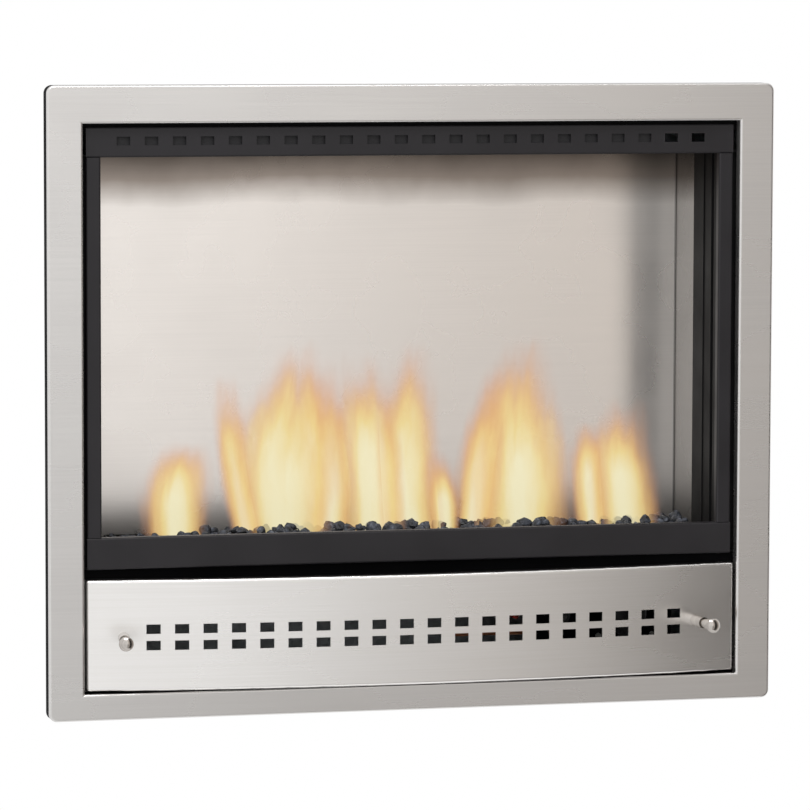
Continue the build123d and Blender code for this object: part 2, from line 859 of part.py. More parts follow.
lumps = []
for column in range(chip_columns):
    for row in range(chip_rows):
        lump_x = -grate_half + cell_x * (column + 0.5)
        lump_y = back(grate_front) + cell_y * (row + 0.5)
        low_end = lump_x < chip_low_side
        tallest = chip_short if low_end else chip_tall - (chip_tall - chip_short) * row / chip_rows / 2
        lump_height = chip_short + (tallest - chip_short) * chance.random()
        lumps.append(charcoal_lump(lump_x, lump_y, cell_x / 2, cell_y / 2, lump_height))
with BuildPart() as charcoal_chips:
    add(lumps)
save(charcoal_chips, "charcoal_chips")

# Mixer tube: gas and air rise through it into the burner
mixer_place = (mixer_x, back(burner_depth))
window_low = mixer_bottom + window_height_up
collar_low = mixer_bottom + mixer_collar_gap - mixer_collar
with BuildPart() as mixer_tube:
    with BuildSketch(level_plane(mixer_bottom)):
        with Locations(mixer_place):
            Circle(mixer_radius)
    extrude(amount=tray_floor - mixer_bottom)
    with BuildSketch(level_plane(mixer_bottom + mixer_base)):
        with Locations(mixer_place):
            Circle(mixer_radius - mixer_wall)
    extrude(amount=tray_floor - mixer_bottom, mode=Mode.SUBTRACT)
    with BuildSketch(level_plane(mixer_bottom)):
        with Locations(mixer_place):
            Circle(injector_radius + spindle_play)
    extrude(amount=mixer_base, mode=Mode.SUBTRACT)
    with BuildSketch(level_plane(collar_low)):
        with Locations(mixer_place):
            Circle(mixer_radius + shutter_wall)
            Circle(mixer_radius - mixer_wall / 2, mode=Mode.SUBTRACT)
    extrude(amount=mixer_collar)
    reach = 2 * mixer_radius
    slab(
        mixer_x - reach, mixer_x + reach,
        back(burner_depth) - window_width / 2, back(burner_depth) + window_width / 2,
        up(window_low), up(window_low + window_height), Mode.SUBTRACT,
    )
save(mixer_tube, "mixer_tube")

# Air shutter: a sleeve with the same windows and a finger tab, turned to set the air
shutter_low = collar_low + mixer_collar + fit_gap
with BuildPart() as air_shutter:
    with BuildSketch(level_plane(shutter_low)):
        with Locations(mixer_place):
            Circle(mixer_radius + shutter_play + shutter_wall)
    extrude(amount=shutter_length)
    tab_front = back(burner_depth) - mixer_radius - shutter_wall - shutter_tab
    slab(
        mixer_x - shutter_tab_sheet / 2, mixer_x + shutter_tab_sheet / 2, tab_front, back(burner_depth),
        up(shutter_low), up(shutter_low + shutter_length / 2),
    )
    with BuildSketch(level_plane(shutter_low)):
        with Locations(mixer_place):
            Circle(mixer_radius + shutter_play)
    extrude(amount=shutter_length, mode=Mode.SUBTRACT)
    slab(
        mixer_x - reach, mixer_x + reach,
        back(burner_depth) - window_width / 2, back(burner_depth) + window_width / 2,
        up(window_low), up(window_low + window_height), Mode.SUBTRACT,
    )
save(air_shutter, "air_shutter")

# Brass injector under the mixer tube
hex_low = mixer_bottom - injector_hex_height
with BuildPart() as gas_injector:
    with BuildSketch(level_plane(hex_low)):
        with Locations(mixer_place):
            RegularPolygon(injector_hex, 6)
    extrude(amount=injector_hex_height)
    with BuildSketch(level_plane(mixer_bottom)):
        with Locations(mixer_place):
            Circle(injector_radius)
    extrude(amount=injector_length)
    with BuildSketch(level_plane(hex_low)):
        with Locations(mixer_place):
            Circle(injector_orifice)
    extrude(amount=injector_hex_height + injector_length, mode=Mode.SUBTRACT)
save(gas_injector, "gas_injector")

# Pipe from the valve's outlet to the injector
valve_left = valve_x - valve_width / 2
manifold_points = [
    (valve_left - valve_boss, back(burner_depth), up(outlet_height)),
    (mixer_x, back(burner_depth), up(outlet_height)),
    (mixer_x, back(burner_depth), up(hex_low)),
]
manifold_pipe = bent_bar(manifold_points, pipe_bend, pipe_radius)
save(manifold_pipe, "manifold_pipe")

# Gas valve: a cast block with bosses for its pipes and a bore for the spindle
valve_low = valve_height_up - valve_body_height / 2
valve_high = valve_height_up + valve_body_height / 2
valve_back = plate_back + valve_body_depth
pilot_tap_x = valve_x - valve_width / 4
pilot_tap_depth = plate_back + valve_body_depth / 2
probe_tap_x = valve_x + valve_boss_radius
with BuildPart() as gas_valve:
    slab(
        valve_left, valve_x + valve_width / 2, back(plate_back), back(valve_back),
        up(valve_low), up(valve_high),
    )
    chamfer(gas_valve.edges().filter_by(Axis.Y), valve_chamfer)
    with BuildSketch(Plane.YZ.offset(valve_left)):
        with Locations((back(burner_depth), up(outlet_height))):
            Circle(valve_boss_radius)
    extrude(amount=-valve_boss)
    with BuildSketch(Plane.YZ.offset(valve_x + valve_width / 2)):
        with Locations((back(pilot_tap_depth), up(valve_height_up))):
            Circle(valve_cap_radius)
    extrude(amount=valve_cap)
    with BuildSketch(face_plane(valve_back)):
        with Locations((inlet_x, up(valve_height_up))):
            Circle(valve_boss_radius)
    extrude(amount=-valve_boss)
    with BuildSketch(level_plane(valve_high)):
        with Locations((pilot_tap_x, back(pilot_tap_depth)), (probe_tap_x, back(pilot_tap_depth))):
            Circle(valve_boss_radius / 2)
    extrude(amount=valve_boss / 2)
    with BuildSketch(face_plane(plate_back)):
        with Locations((valve_x, up(valve_height_up))):
            Circle(spindle_radius + spindle_play)
    extrude(amount=-spindle_bore, mode=Mode.SUBTRACT)
    with BuildSketch(face_plane(plate_back)):
        with Locations((valve_x, up(valve_height_up))):
            with GridLocations(screw_spread_x, screw_spread_z, 2, 2):
                Circle(screw_radius + screw_play)
    extrude(amount=-screw_length, mode=Mode.SUBTRACT)
save(gas_valve, "gas_valve")

# Spindle with its collar: it is pushed in against the spring
knob_back = plate_depth - knob_gap
collar_front = knob_back + dial_sheet
knob_front = knob_back - knob_length
with BuildPart() as valve_spindle:
    with BuildSketch(face_plane(knob_front + knob_length - knob_bore_depth + fit_gap)):
        with Locations((valve_x, up(valve_height_up))):
            Circle(spindle_radius)
    extrude(amount=-(plate_back + spindle_back - knob_back + knob_bore_depth - fit_gap))
    with BuildSketch(face_plane(collar_front)):
        with Locations((valve_x, up(valve_height_up))):
            Circle(collar_radius)
    extrude(amount=-collar_thickness)
save(valve_spindle, "valve_spindle")

# Return spring on the spindle, resting on the control plate
pressed_room = plate_depth - collar_front - collar_thickness - push_travel - fit_gap / 2
spindle_spring = coil_spring(
    valve_x, plate_depth, valve_height_up, spring_mean_radius, spring_wire, pressed_room, spring_turns
)
save(spindle_spring, "spindle_spring")

# Control knob: a skirt with a finger bar and a bore for the spindle
with BuildPart() as control_knob:
    with BuildSketch(face_plane(knob_front + knob_length - knob_skirt)):
        with Locations((valve_x, up(valve_height_up))):
            Circle(knob_skirt_radius)
    extrude(amount=-knob_skirt)
    with BuildSketch(face_plane(knob_front)):
        with Locations((valve_x, up(valve_height_up))):
            SlotOverall(2 * knob_grip_radius, knob_grip_width, rotation=90)
    extrude(amount=-(knob_length - knob_skirt))
    fillet(control_knob.faces().sort_by(Axis.Y)[0].edges(), knob_edge)
    with BuildSketch(face_plane(knob_back)):
        with Locations((valve_x, up(valve_height_up))):
            Circle(spindle_radius + spindle_play)
    extrude(amount=knob_bore_depth, mode=Mode.SUBTRACT)
save(control_knob, "control_knob")

# Dial ring behind the knob
with BuildPart() as dial_ring:
    with BuildSketch(face_plane(plate_depth)):
        with Locations((valve_x, up(valve_height_up))):
            Circle(dial_radius)
            Circle(dial_hole, mode=Mode.SUBTRACT)
    extrude(amount=dial_sheet)
save(dial_ring, "dial_ring")

# Control plate: stands on the casing bottom and carries valve and igniter
plate_low = casing_bottom_height + body_sheet
with BuildPart() as control_plate:
    plate_face = back(plate_depth)
    slab(plate_left, plate_right, plate_face, back(plate_back), up(plate_low), up(plate_low + plate_height))
    slab(
        plate_left, plate_right, plate_face, back(plate_back + plate_foot),
        up(plate_low), up(plate_low + plate_sheet),
    )
    with BuildSketch(face_plane(plate_depth)):
        with Locations((valve_x, up(valve_height_up))):
            Circle(spindle_radius + fit_gap)
            with GridLocations(screw_spread_x, screw_spread_z, 2, 2):
                Circle(screw_radius + screw_play)
        with Locations((igniter_x, up(valve_height_up))):
            Circle(igniter_radius + fit_gap)
    extrude(amount=-plate_sheet, mode=Mode.SUBTRACT)
save(control_plate, "control_plate")

# Four screws through the plate into the valve
with BuildPart() as plate_screws:
    with BuildSketch(face_plane(plate_depth)):
        with Locations((valve_x, up(valve_height_up))):
            with GridLocations(screw_spread_x, screw_spread_z, 2, 2):
                Circle(screw_head_radius)
    extrude(amount=screw_head)
    with BuildSketch(face_plane(plate_depth)):
        with Locations((valve_x, up(valve_height_up))):
            with GridLocations(screw_spread_x, screw_spread_z, 2, 2):
                Circle(screw_radius)
    extrude(amount=-(screw_length - fit_gap))
save(plate_screws, "plate_screws")

# Push igniter: body, button and spring
igniter_back = plate_depth + igniter_length
bezel_front = plate_depth - igniter_bezel
with BuildPart() as igniter_body:
    with BuildSketch(face_plane(plate_depth)):
        with Locations((igniter_x, up(valve_height_up))):
            Circle(igniter_radius)
    extrude(amount=-igniter_length)
    with BuildSketch(face_plane(bezel_front)):
        with Locations((igniter_x, up(valve_height_up))):
            Circle(igniter_bezel_radius)
    extrude(amount=-igniter_bezel)
    with BuildSketch(face_plane(igniter_back)):
        with Locations((igniter_x, up(valve_height_up))):
            Circle(igniter_terminal)
    extrude(amount=-igniter_terminal_length)
    with BuildSketch(face_plane(bezel_front)):
        with Locations((igniter_x, up(valve_height_up))):
            Circle(igniter_bore)
    extrude(amount=-(igniter_bezel + igniter_bore_depth), mode=Mode.SUBTRACT)
save(igniter_body, "igniter_body")

with BuildPart() as igniter_button:
    with BuildSketch(face_plane(bezel_front - button_proud)):
        with Locations((igniter_x, up(valve_height_up))):
            Circle(button_radius)
    extrude(amount=-(button_proud + igniter_bezel + button_seat))
    fillet(igniter_button.faces().sort_by(Axis.Y)[0].edges(), button_edge)
save(igniter_button, "igniter_button")

bore_end = plate_depth + igniter_bore_depth
button_room = igniter_bore_depth - button_seat - button_travel - fit_gap
igniter_spring = coil_spring(
    igniter_x, bore_end, valve_height_up, igniter_spring_radius, igniter_spring_wire, button_room,
    igniter_spring_turns,
)
save(igniter_spring, "igniter_spring")

# Pilot: bracket, flame nozzle, flame probe and spark electrode
bracket_top = floor_top + pilot_plate_height
with BuildPart() as pilot_bracket:
    half = pilot_plate_half
    slab(
        pilot_x - half, pilot_x + half, back(pilot_depth - pilot_plate_width / 2),
        back(pilot_depth + pilot_plate_width / 2), up(floor_top), up(bracket_top),
    )
    slab(
        pilot_x - half + body_sheet, pilot_x + half - body_sheet,
        back(pilot_depth - pilot_plate_width / 2), back(pilot_depth + pilot_plate_width / 2),
        up(floor_top), up(bracket_top - body_sheet), Mode.SUBTRACT,
    )
    with BuildSketch(level_plane(bracket_top - body_sheet)):
        with Locations((pilot_x, back(pilot_depth))):
            Circle(pilot_radius + fit_gap)
        with Locations((probe_x, back(pilot_depth))):
            Circle(probe_radius + fit_gap)
        with Locations((electrode_x, back(pilot_depth))):
            Circle(electrode_radius + fit_gap)
    extrude(amount=body_sheet, mode=Mode.SUBTRACT)
save(pilot_bracket, "pilot_bracket")

with BuildPart() as pilot_burner:
    with BuildSketch(level_plane(floor_top + pilot_lift)):
        with Locations((pilot_x, back(pilot_depth))):
            Circle(pilot_radius)
    extrude(amount=pilot_height - pilot_lift)
    slot_low = floor_top + pilot_height - 2 * pilot_slot
    slab(
        pilot_x - pilot_radius, pilot_x + pilot_radius, back(pilot_depth), back(pilot_depth + pilot_radius),
        up(slot_low), up(slot_low + pilot_slot), Mode.SUBTRACT,
    )
save(pilot_burner, "pilot_burner")

with BuildPart() as thermocouple:
    with BuildSketch(level_plane(floor_top + pilot_lift)):
        with Locations((probe_x, back(pilot_depth))):
            Circle(probe_radius)
    extrude(amount=probe_height - pilot_lift)
    fillet(thermocouple.faces().sort_by(Axis.Z)[-1].edges(), probe_radius / 2)
save(thermocouple, "thermocouple")

with BuildPart() as spark_electrode:
    with BuildSketch(level_plane(floor_top + pilot_lift)):
        with Locations((electrode_x, back(pilot_depth))):
            Circle(electrode_radius)
    extrude(amount=electrode_height - pilot_lift)
    with BuildSketch(level_plane(floor_top + electrode_height)):
        with Locations((electrode_x, back(pilot_depth))):
            Circle(electrode_tip_radius)
    extrude(amount=electrode_tip)
save(spark_electrode, "spark_electrode")

# Lines held all the way: pilot gas, flame probe and spark
pilot_run_height = valve_high + (floor_bottom - valve_high) / 2
pilot_pipe = bent_bar(
    [
        (pilot_tap_x, back(pilot_tap_depth), up(valve_high + valve_boss / 2)),
        (pilot_tap_x, back(pilot_tap_depth), up(pilot_run_height)),
        (pilot_x, back(pilot_tap_depth), up(pilot_run_height)),
        (pilot_x, back(pilot_depth), up(pilot_run_height)),
        (pilot_x, back(pilot_depth), up(floor_top + pilot_lift)),
    ],
    pipe_bend, pilot_pipe_radius,
)
save(pilot_pipe, "pilot_pipe")

probe_run_height = valve_high + (floor_bottom - valve_high) / 2
probe_run_depth = pilot_tap_depth - 3 * pilot_pipe_radius
thermocouple_lead = bent_bar(
    [
        (probe_tap_x, back(pilot_tap_depth), up(valve_high + valve_boss / 2)),
        (probe_tap_x, back(pilot_tap_depth), up(probe_run_height)),
        (probe_tap_x, back(probe_run_depth - 2 * pipe_bend), up(probe_run_height)),
        (probe_x, back(probe_run_depth - 2 * pipe_bend), up(probe_run_height)),
        (probe_x, back(pilot_depth), up(probe_run_height)),
        (probe_x, back(pilot_depth), up(floor_top + pilot_lift)),
    ],
    pipe_bend, lead_radius,
)
save(thermocouple_lead, "thermocouple_lead")

spark_run_depth = igniter_back + igniter_terminal_length + 2 * pipe_bend
ignition_lead = bent_bar(
    [
        (igniter_x, back(igniter_back + igniter_terminal_length), up(valve_height_up)),
        (igniter_x, back(spark_run_depth), up(valve_height_up)),
        (electrode_x, back(spark_run_depth), up(valve_height_up)),
        (electrode_x, back(pilot_depth), up(valve_height_up)),
        (electrode_x, back(pilot_depth), up(floor_top + pilot_lift)),
    ],
    pipe_bend, spark_lead_radius,
)
save(ignition_lead, "ignition_lead")

# Gas inlet below the casing, regulator above it and the pipe on to the valve
hex_top = plate_low + inlet_hex_height
regulator_low = hex_top + regulator_neck
regulator_top = regulator_low + regulator_height
with BuildPart() as inlet_tail:
    with BuildSketch(level_plane(plate_low)):
        with Locations((inlet_x, back(inlet_depth))):
            RegularPolygon(inlet_hex, 6)
    extrude(amount=inlet_hex_height)
    with BuildSketch(level_plane(casing_bottom_height - inlet_tail_length)):
        with Locations((inlet_x, back(inlet_depth))):
            Circle(inlet_radius)
    extrude(amount=inlet_tail_length + body_sheet)
    with BuildSketch(level_plane(casing_bottom_height - inlet_tail_length)):
        with Locations((inlet_x, back(inlet_depth))):
            Circle(inlet_bore)
    extrude(amount=inlet_tail_length + inlet_hex_height / 2, mode=Mode.SUBTRACT)
save(inlet_tail, "inlet_tail")

with BuildPart() as gas_regulator:
    with BuildSketch(level_plane(hex_top)):
        with Locations((inlet_x, back(inlet_depth))):
            Circle(inlet_radius)
    extrude(amount=regulator_neck)
    with BuildSketch(level_plane(regulator_low)):
        with Locations((inlet_x, back(inlet_depth))):
            Circle(regulator_radius)
    extrude(amount=regulator_height)
    rims = gas_regulator.edges().filter_by(GeomType.CIRCLE)
    chamfer([rim for rim in rims if abs(rim.radius - regulator_radius) < fit_gap], regulator_chamfer)
save(gas_regulator, "gas_regulator")

supply_pipe = bent_bar(
    [
        (inlet_x, back(inlet_depth), up(regulator_top)),
        (inlet_x, back(inlet_depth), up(valve_height_up)),
        (inlet_x, back(valve_back + valve_boss), up(valve_height_up)),
    ],
    pipe_bend, pipe_radius,
)
save(supply_pipe, "supply_pipe")

# Bowed panel: a shallow tray of folded steel whose face is an arc about an upright axis
chord_rise = sqrt(panel_radius**2 - panel_half**2)
bow_centre = back(panel_end_depth) + chord_rise


# Place on the bow at a distance along its arc from the middle
def bow_place(along, height, inward=0.0):
    angle = along / panel_radius
    reach = panel_radius - inward
    place = (reach * sin(angle), bow_centre - reach * cos(angle), up(height))
    return Location(place, (0, 0, degrees(angle)))


# A plane on the panel's face at an X place, looking out along the bow's normal
def knob_plane(x):
    angle = asin(x / panel_radius)
    origin = (x, bow_centre - panel_radius * cos(angle), up(slot_centre))
    return Plane(origin=origin, x_dir=(0, 0, 1), z_dir=(sin(angle), -cos(angle), 0))


knob_planes = {"left_pull_knob": knob_plane(left_knob_x), "right_pull_knob": knob_plane(right_knob_x)}
inner_radius = panel_radius - panel_flange
with BuildPart() as access_panel:
    with BuildSketch(level_plane(panel_bottom)):
        with BuildLine():
            outer_ends = [(side * panel_half, back(panel_end_depth)) for side in (-1, 1)]
            inner_rise = sqrt(inner_radius**2 - panel_half**2)
            inner_ends = [(side * panel_half, bow_centre - inner_rise) for side in (-1, 1)]
            ThreePointArc(outer_ends[0], (0, bow_centre - panel_radius), outer_ends[1])
            Line(outer_ends[1], inner_ends[1])
            ThreePointArc(inner_ends[1], (0, bow_centre - inner_radius), inner_ends[0])
            Line(inner_ends[0], outer_ends[0])
        make_face()
    extrude(amount=panel_height)
    bow_faces = access_panel.faces().filter_by(GeomType.CYLINDER).sort_by(Axis.Y)
    fillet(bow_faces[0].edges(), panel_bend)
    open_side = access_panel.faces().filter_by(GeomType.CYLINDER).sort_by(SortBy.RADIUS)
    bow_back = [face for face in open_side if abs(face.center().Y - bow_centre + inner_radius) < panel_sheet]
    offset(amount=-panel_sheet, openings=bow_back)
    for row in (-1, 1):
        for column in range(panel_slots):
            along = (column - (panel_slots - 1) / 2) * panel_slot_pitch
            with Locations(bow_place(along, slot_centre + row * panel_row_pitch / 2)):
                Box(panel_slot_width, 4 * panel_sheet, panel_slot_height, mode=Mode.SUBTRACT)
    for plane in knob_planes.values():
        with BuildSketch(plane):
            Circle(pull_screw_radius + fit_gap)
        extrude(amount=-2 * panel_sheet, mode=Mode.SUBTRACT)
save(access_panel, "access_panel")

# Pull knobs: a round stem, a narrow neck and a flared head with a domed end
dome_sphere = (pull_head_radius**2 + pull_dome**2) / (2 * pull_dome)
dome_half_turn = asin(pull_head_radius / dome_sphere) / 2
dome_middle = (
    dome_sphere * sin(dome_half_turn),
    pull_length - dome_sphere + dome_sphere * cos(dome_half_turn),
)
for label, plane in knob_planes.items():
    with BuildPart() as pull_knob:
        with BuildSketch(Plane(origin=plane.origin, x_dir=plane.x_dir, z_dir=-plane.y_dir)):
            with BuildLine():
                Polyline(
                    (0, pull_length), (0, 0), (pull_stem_radius, 0), (pull_stem_radius, pull_stem),
                    (pull_neck_radius, pull_stem), (pull_neck_radius, pull_stem + pull_neck),
                    (pull_root_radius, pull_stem + pull_neck), (pull_head_radius, pull_length - pull_dome),
                )
                ThreePointArc((pull_head_radius, pull_length - pull_dome), dome_middle, (0, pull_length))
            make_face()
        revolve(axis=Axis(plane.origin, plane.z_dir))
        rims = pull_knob.edges().filter_by(GeomType.CIRCLE)
        fillet([rim for rim in rims if abs(rim.radius - pull_head_radius) < fit_gap], pull_edge)
        with BuildSketch(plane):
            Circle(pull_screw_radius + screw_play)
        extrude(amount=pull_screw_depth, mode=Mode.SUBTRACT)
    save(pull_knob, label)

# Screws that hold the knobs from inside the panel
with BuildPart() as pull_knob_screws:
    for plane in knob_planes.values():
        with BuildSketch(plane.offset(-panel_sheet - seat_gap)):
            Circle(pull_screw_head)
        extrude(amount=-pull_screw_head_height)
        with BuildSketch(plane.offset(-panel_sheet - seat_gap)):
            Circle(pull_screw_radius)
        extrude(amount=panel_sheet + pull_screw_depth - fit_gap)
save(pull_knob_screws, "pull_knob_screws")

# Lugs welded inside the panel's ends, each with two locating pins
lug_back = panel_end_depth + panel_flange
with BuildPart() as panel_lugs:
    for side in (-1, 1):
        end = side * (panel_half - panel_sheet)
        low = up(slot_centre - lug_height / 2)
        high = up(slot_centre + lug_height / 2)
        slab(end, end - side * lug_width, back(lug_back - body_sheet), back(lug_back), low, high)
        slab(end, end - side * body_sheet, back(lug_back - lug_arm), back(lug_back), low, high)
    with BuildSketch(face_plane(lug_back)):
        with Locations(*pin_places):
            Circle(pin_radius)
    extrude(amount=-pin_length)
    flat_faces = panel_lugs.faces().filter_by(GeomType.PLANE)
    tips = [face for face in flat_faces if face.center().Y > back(lug_back) + pin_length / 2]
    chamfer([edge for tip in tips for edge in tip.edges()], pin_chamfer)
save(panel_lugs, "panel_lugs")

# Magnets on the bay front that hold the panel's lugs
with BuildPart() as panel_magnets:
    for side in (-1, 1):
        slab(
            side * (pin_x - magnet_width / 2), side * (pin_x + magnet_width / 2),
            back(lug_back + magnet_gap), back(bay_depth),
            up(slot_centre - magnet_height / 2), up(slot_centre + magnet_height / 2),
        )
save(panel_magnets, "panel_magnets")
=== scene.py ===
import random
from math import cos, pi, radians, sin

import bpy
from mathutils import Matrix, Vector, noise


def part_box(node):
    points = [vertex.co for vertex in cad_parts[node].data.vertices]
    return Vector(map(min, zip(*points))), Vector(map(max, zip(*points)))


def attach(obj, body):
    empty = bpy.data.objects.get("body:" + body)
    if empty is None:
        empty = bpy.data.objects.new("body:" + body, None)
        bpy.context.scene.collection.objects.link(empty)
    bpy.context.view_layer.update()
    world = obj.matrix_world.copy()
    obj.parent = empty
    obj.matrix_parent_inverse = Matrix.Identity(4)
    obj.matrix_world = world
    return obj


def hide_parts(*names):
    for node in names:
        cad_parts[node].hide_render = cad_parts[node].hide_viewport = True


# Wall-hung gas fireplace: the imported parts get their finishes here,
# and the charcoal, the flames and the dial marks are modelled on top of them.
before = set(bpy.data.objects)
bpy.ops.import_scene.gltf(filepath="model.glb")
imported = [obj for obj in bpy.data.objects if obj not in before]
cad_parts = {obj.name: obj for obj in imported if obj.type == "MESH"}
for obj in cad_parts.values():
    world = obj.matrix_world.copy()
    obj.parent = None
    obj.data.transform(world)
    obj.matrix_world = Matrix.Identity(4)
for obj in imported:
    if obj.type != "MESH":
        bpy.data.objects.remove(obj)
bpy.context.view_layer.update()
print("frame loaded:", len(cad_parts), "parts")


# Helpers for nodes and materials
def colour(hexCode):
    # sRGB hex to the linear values that the shaders take
    parts = [int(hexCode[i:i + 2], 16) / 255 for i in (1, 3, 5)]
    linear = [c / 12.92 if c <= 0.04045 else ((c + 0.055) / 1.055) ** 2.4 for c in parts]
    return (*linear, 1.0)


def addNode(tree, kind, settings=None, inputs=None):
    # one node with its settings, and each input either linked or given a value
    node = tree.nodes.new(kind)
    for name, value in (settings or {}).items():
        setattr(node, name, value)
    for name, value in (inputs or {}).items():
        if isinstance(value, bpy.types.NodeSocket):
            tree.links.new(value, node.inputs[name])
        else:
            node.inputs[name].default_value = value
    return node


def doMath(tree, operation, *values):
    inputs = dict(enumerate(values))
    return addNode(tree, "ShaderNodeMath", {"operation": operation}, inputs).outputs[0]


def startMaterial(name):
    material = bpy.data.materials.new(name)
    material.use_nodes = True
    tree = material.node_tree
    tree.nodes.clear()
    shader = addNode(tree, "ShaderNodeBsdfPrincipled")
    addNode(tree, "ShaderNodeOutputMaterial", inputs={"Surface": shader.outputs["BSDF"]})
    place = addNode(tree, "ShaderNodeTexCoord").outputs["Object"]
    return material, tree, shader, place


def showInstead(tree, shader, surface):
    # another surface in place of the first shader
    tree.nodes.remove(shader)
    output = next(node for node in tree.nodes if node.type == "OUTPUT_MATERIAL")
    tree.links.new(surface, output.inputs["Surface"])


def setShader(shader, metallic, roughness=None, **others):
    shader.inputs["Metallic"].default_value = metallic
    if roughness is not None:
        shader.inputs["Roughness"].default_value = roughness
    for name, value in others.items():
        shader.inputs[name.replace("_", " ")].default_value = value


def rampBetween(tree, factor, stops):
    # a colour ramp from (position, colour) pairs
    node = addNode(tree, "ShaderNodeValToRGB", inputs={"Fac": factor})
    points = node.color_ramp.elements
    points[0].position, points[0].color = stops[0]
    points[-1].position, points[-1].color = stops[-1]
    for position, value in stops[1:-1]:
        points.new(position).color = value
    return node.outputs["Color"]


def paintBetween(tree, shader, factor, *stops):
    # the base colour from (position, hex) pairs
    tone = rampBetween(tree, factor, [(position, colour(hexCode)) for position, hexCode in stops])
    tree.links.new(tone, shader.inputs["Base Color"])


def spread(tree, value, low, high, fromLow=0.0, fromHigh=1.0, shape="LINEAR"):
    # a value moved into another range
    node = addNode(tree, "ShaderNodeMapRange", {"interpolation_type": shape}, {
        "Value": value, "From Min": fromLow, "From Max": fromHigh, "To Min": low, "To Max": high})
    return node.outputs["Result"]


def roughen(tree, shader, value, low, high, fromLow=0.0, fromHigh=1.0):
    tree.links.new(spread(tree, value, low, high, fromLow, fromHigh), shader.inputs["Roughness"])


# Most values of a noise lie in this span
noiseSpan = (0.3, 0.7)


def noiseAt(tree, place, scale, stretch=(1, 1, 1), detail=3.0):
    mapped = addNode(tree, "ShaderNodeMapping", inputs={"Vector": place, "Scale": stretch})
    node = addNode(tree, "ShaderNodeTexNoise", inputs={
        "Vector": mapped.outputs["Vector"], "Scale": scale, "Detail": detail})
    return node.outputs["Fac"]


def addBump(tree, shader, height, distance, strength):
    node = addNode(tree, "ShaderNodeBump", inputs={
        "Height": height, "Distance": distance, "Strength": strength})
    tree.links.new(node.outputs["Normal"], shader.inputs["Normal"])


# Camera, at the photograph's angle
viewpoint = {
    "place": (-1.41727, -5.92247, 0.31192),
    "yaw": -13.8549,
    "tilt": -5.2059,
    "roll": 0.147,
    "lens": 213.12,
    "sensorWidth": 36.0,
    "seesFrom": 0.1,
    "seesTo": 60.0,
}


def addCamera():
    bpy.ops.object.camera_add(location=viewpoint["place"])
    camera = bpy.context.object
    camera.name = "photoCamera"
    turned = Matrix.Rotation(radians(viewpoint["yaw"]), 3, "Z")
    tilted = Matrix.Rotation(radians(90 + viewpoint["tilt"]), 3, "X")
    rolled = Matrix.Rotation(radians(viewpoint["roll"]), 3, "Z")
    camera.rotation_euler = (turned @ tilted @ rolled).to_euler()
    camera.data.lens = viewpoint["lens"]
    camera.data.sensor_width = viewpoint["sensorWidth"]
    camera.data.clip_start = viewpoint["seesFrom"]
    camera.data.clip_end = viewpoint["seesTo"]
    bpy.context.scene.camera = camera


# Brushed 430 stainless, number 4 finish: long fine grain along X, so a light smears upwards
steelFinish = {
    "grainScale": 620.0,
    "grainStretch": (0.010, 0.010, 1.0),
    "cloudScale": 4.0,
    "cloudStretch": (1, 1, 2),
    "roughLow": 0.24,
    "roughHigh": 0.30,
    "grainRough": 0.012,
    "smear": 0.75,
    "along": {"X": 1.0, "Y": 0.05, "Z": 0.0},
}


def steelGrain(tree, shader, place):
    # the grain, and the tangent that it gives the smear
    along = addNode(tree, "ShaderNodeCombineXYZ", inputs=steelFinish["along"])
    tree.links.new(along.outputs["Vector"], shader.inputs["Tangent"])
    return noiseAt(tree, place, steelFinish["grainScale"], steelFinish["grainStretch"])


def brushedSteel(name, light, dark):
    material, tree, shader, place = startMaterial(name)
    finish = steelFinish
    grain = steelGrain(tree, shader, place)
    paintBetween(tree, shader, grain, (noiseSpan[0], dark), (noiseSpan[1], light))
    cloud = noiseAt(tree, place, finish["cloudScale"], finish["cloudStretch"])
    rough = spread(tree, cloud, finish["roughLow"], finish["roughHigh"], *noiseSpan)
    tree.links.new(doMath(tree, "MULTIPLY_ADD", grain, finish["grainRough"], rough), shader.inputs["Roughness"])
    setShader(shader, 1.0, Anisotropic=finish["smear"])
    return material


# The panel's bow and its bends, worked out from where a point lies, so that the bends shine evenly
bowShape = {"radius": 2.908, "bend": 0.004, "agreement": 0.6}


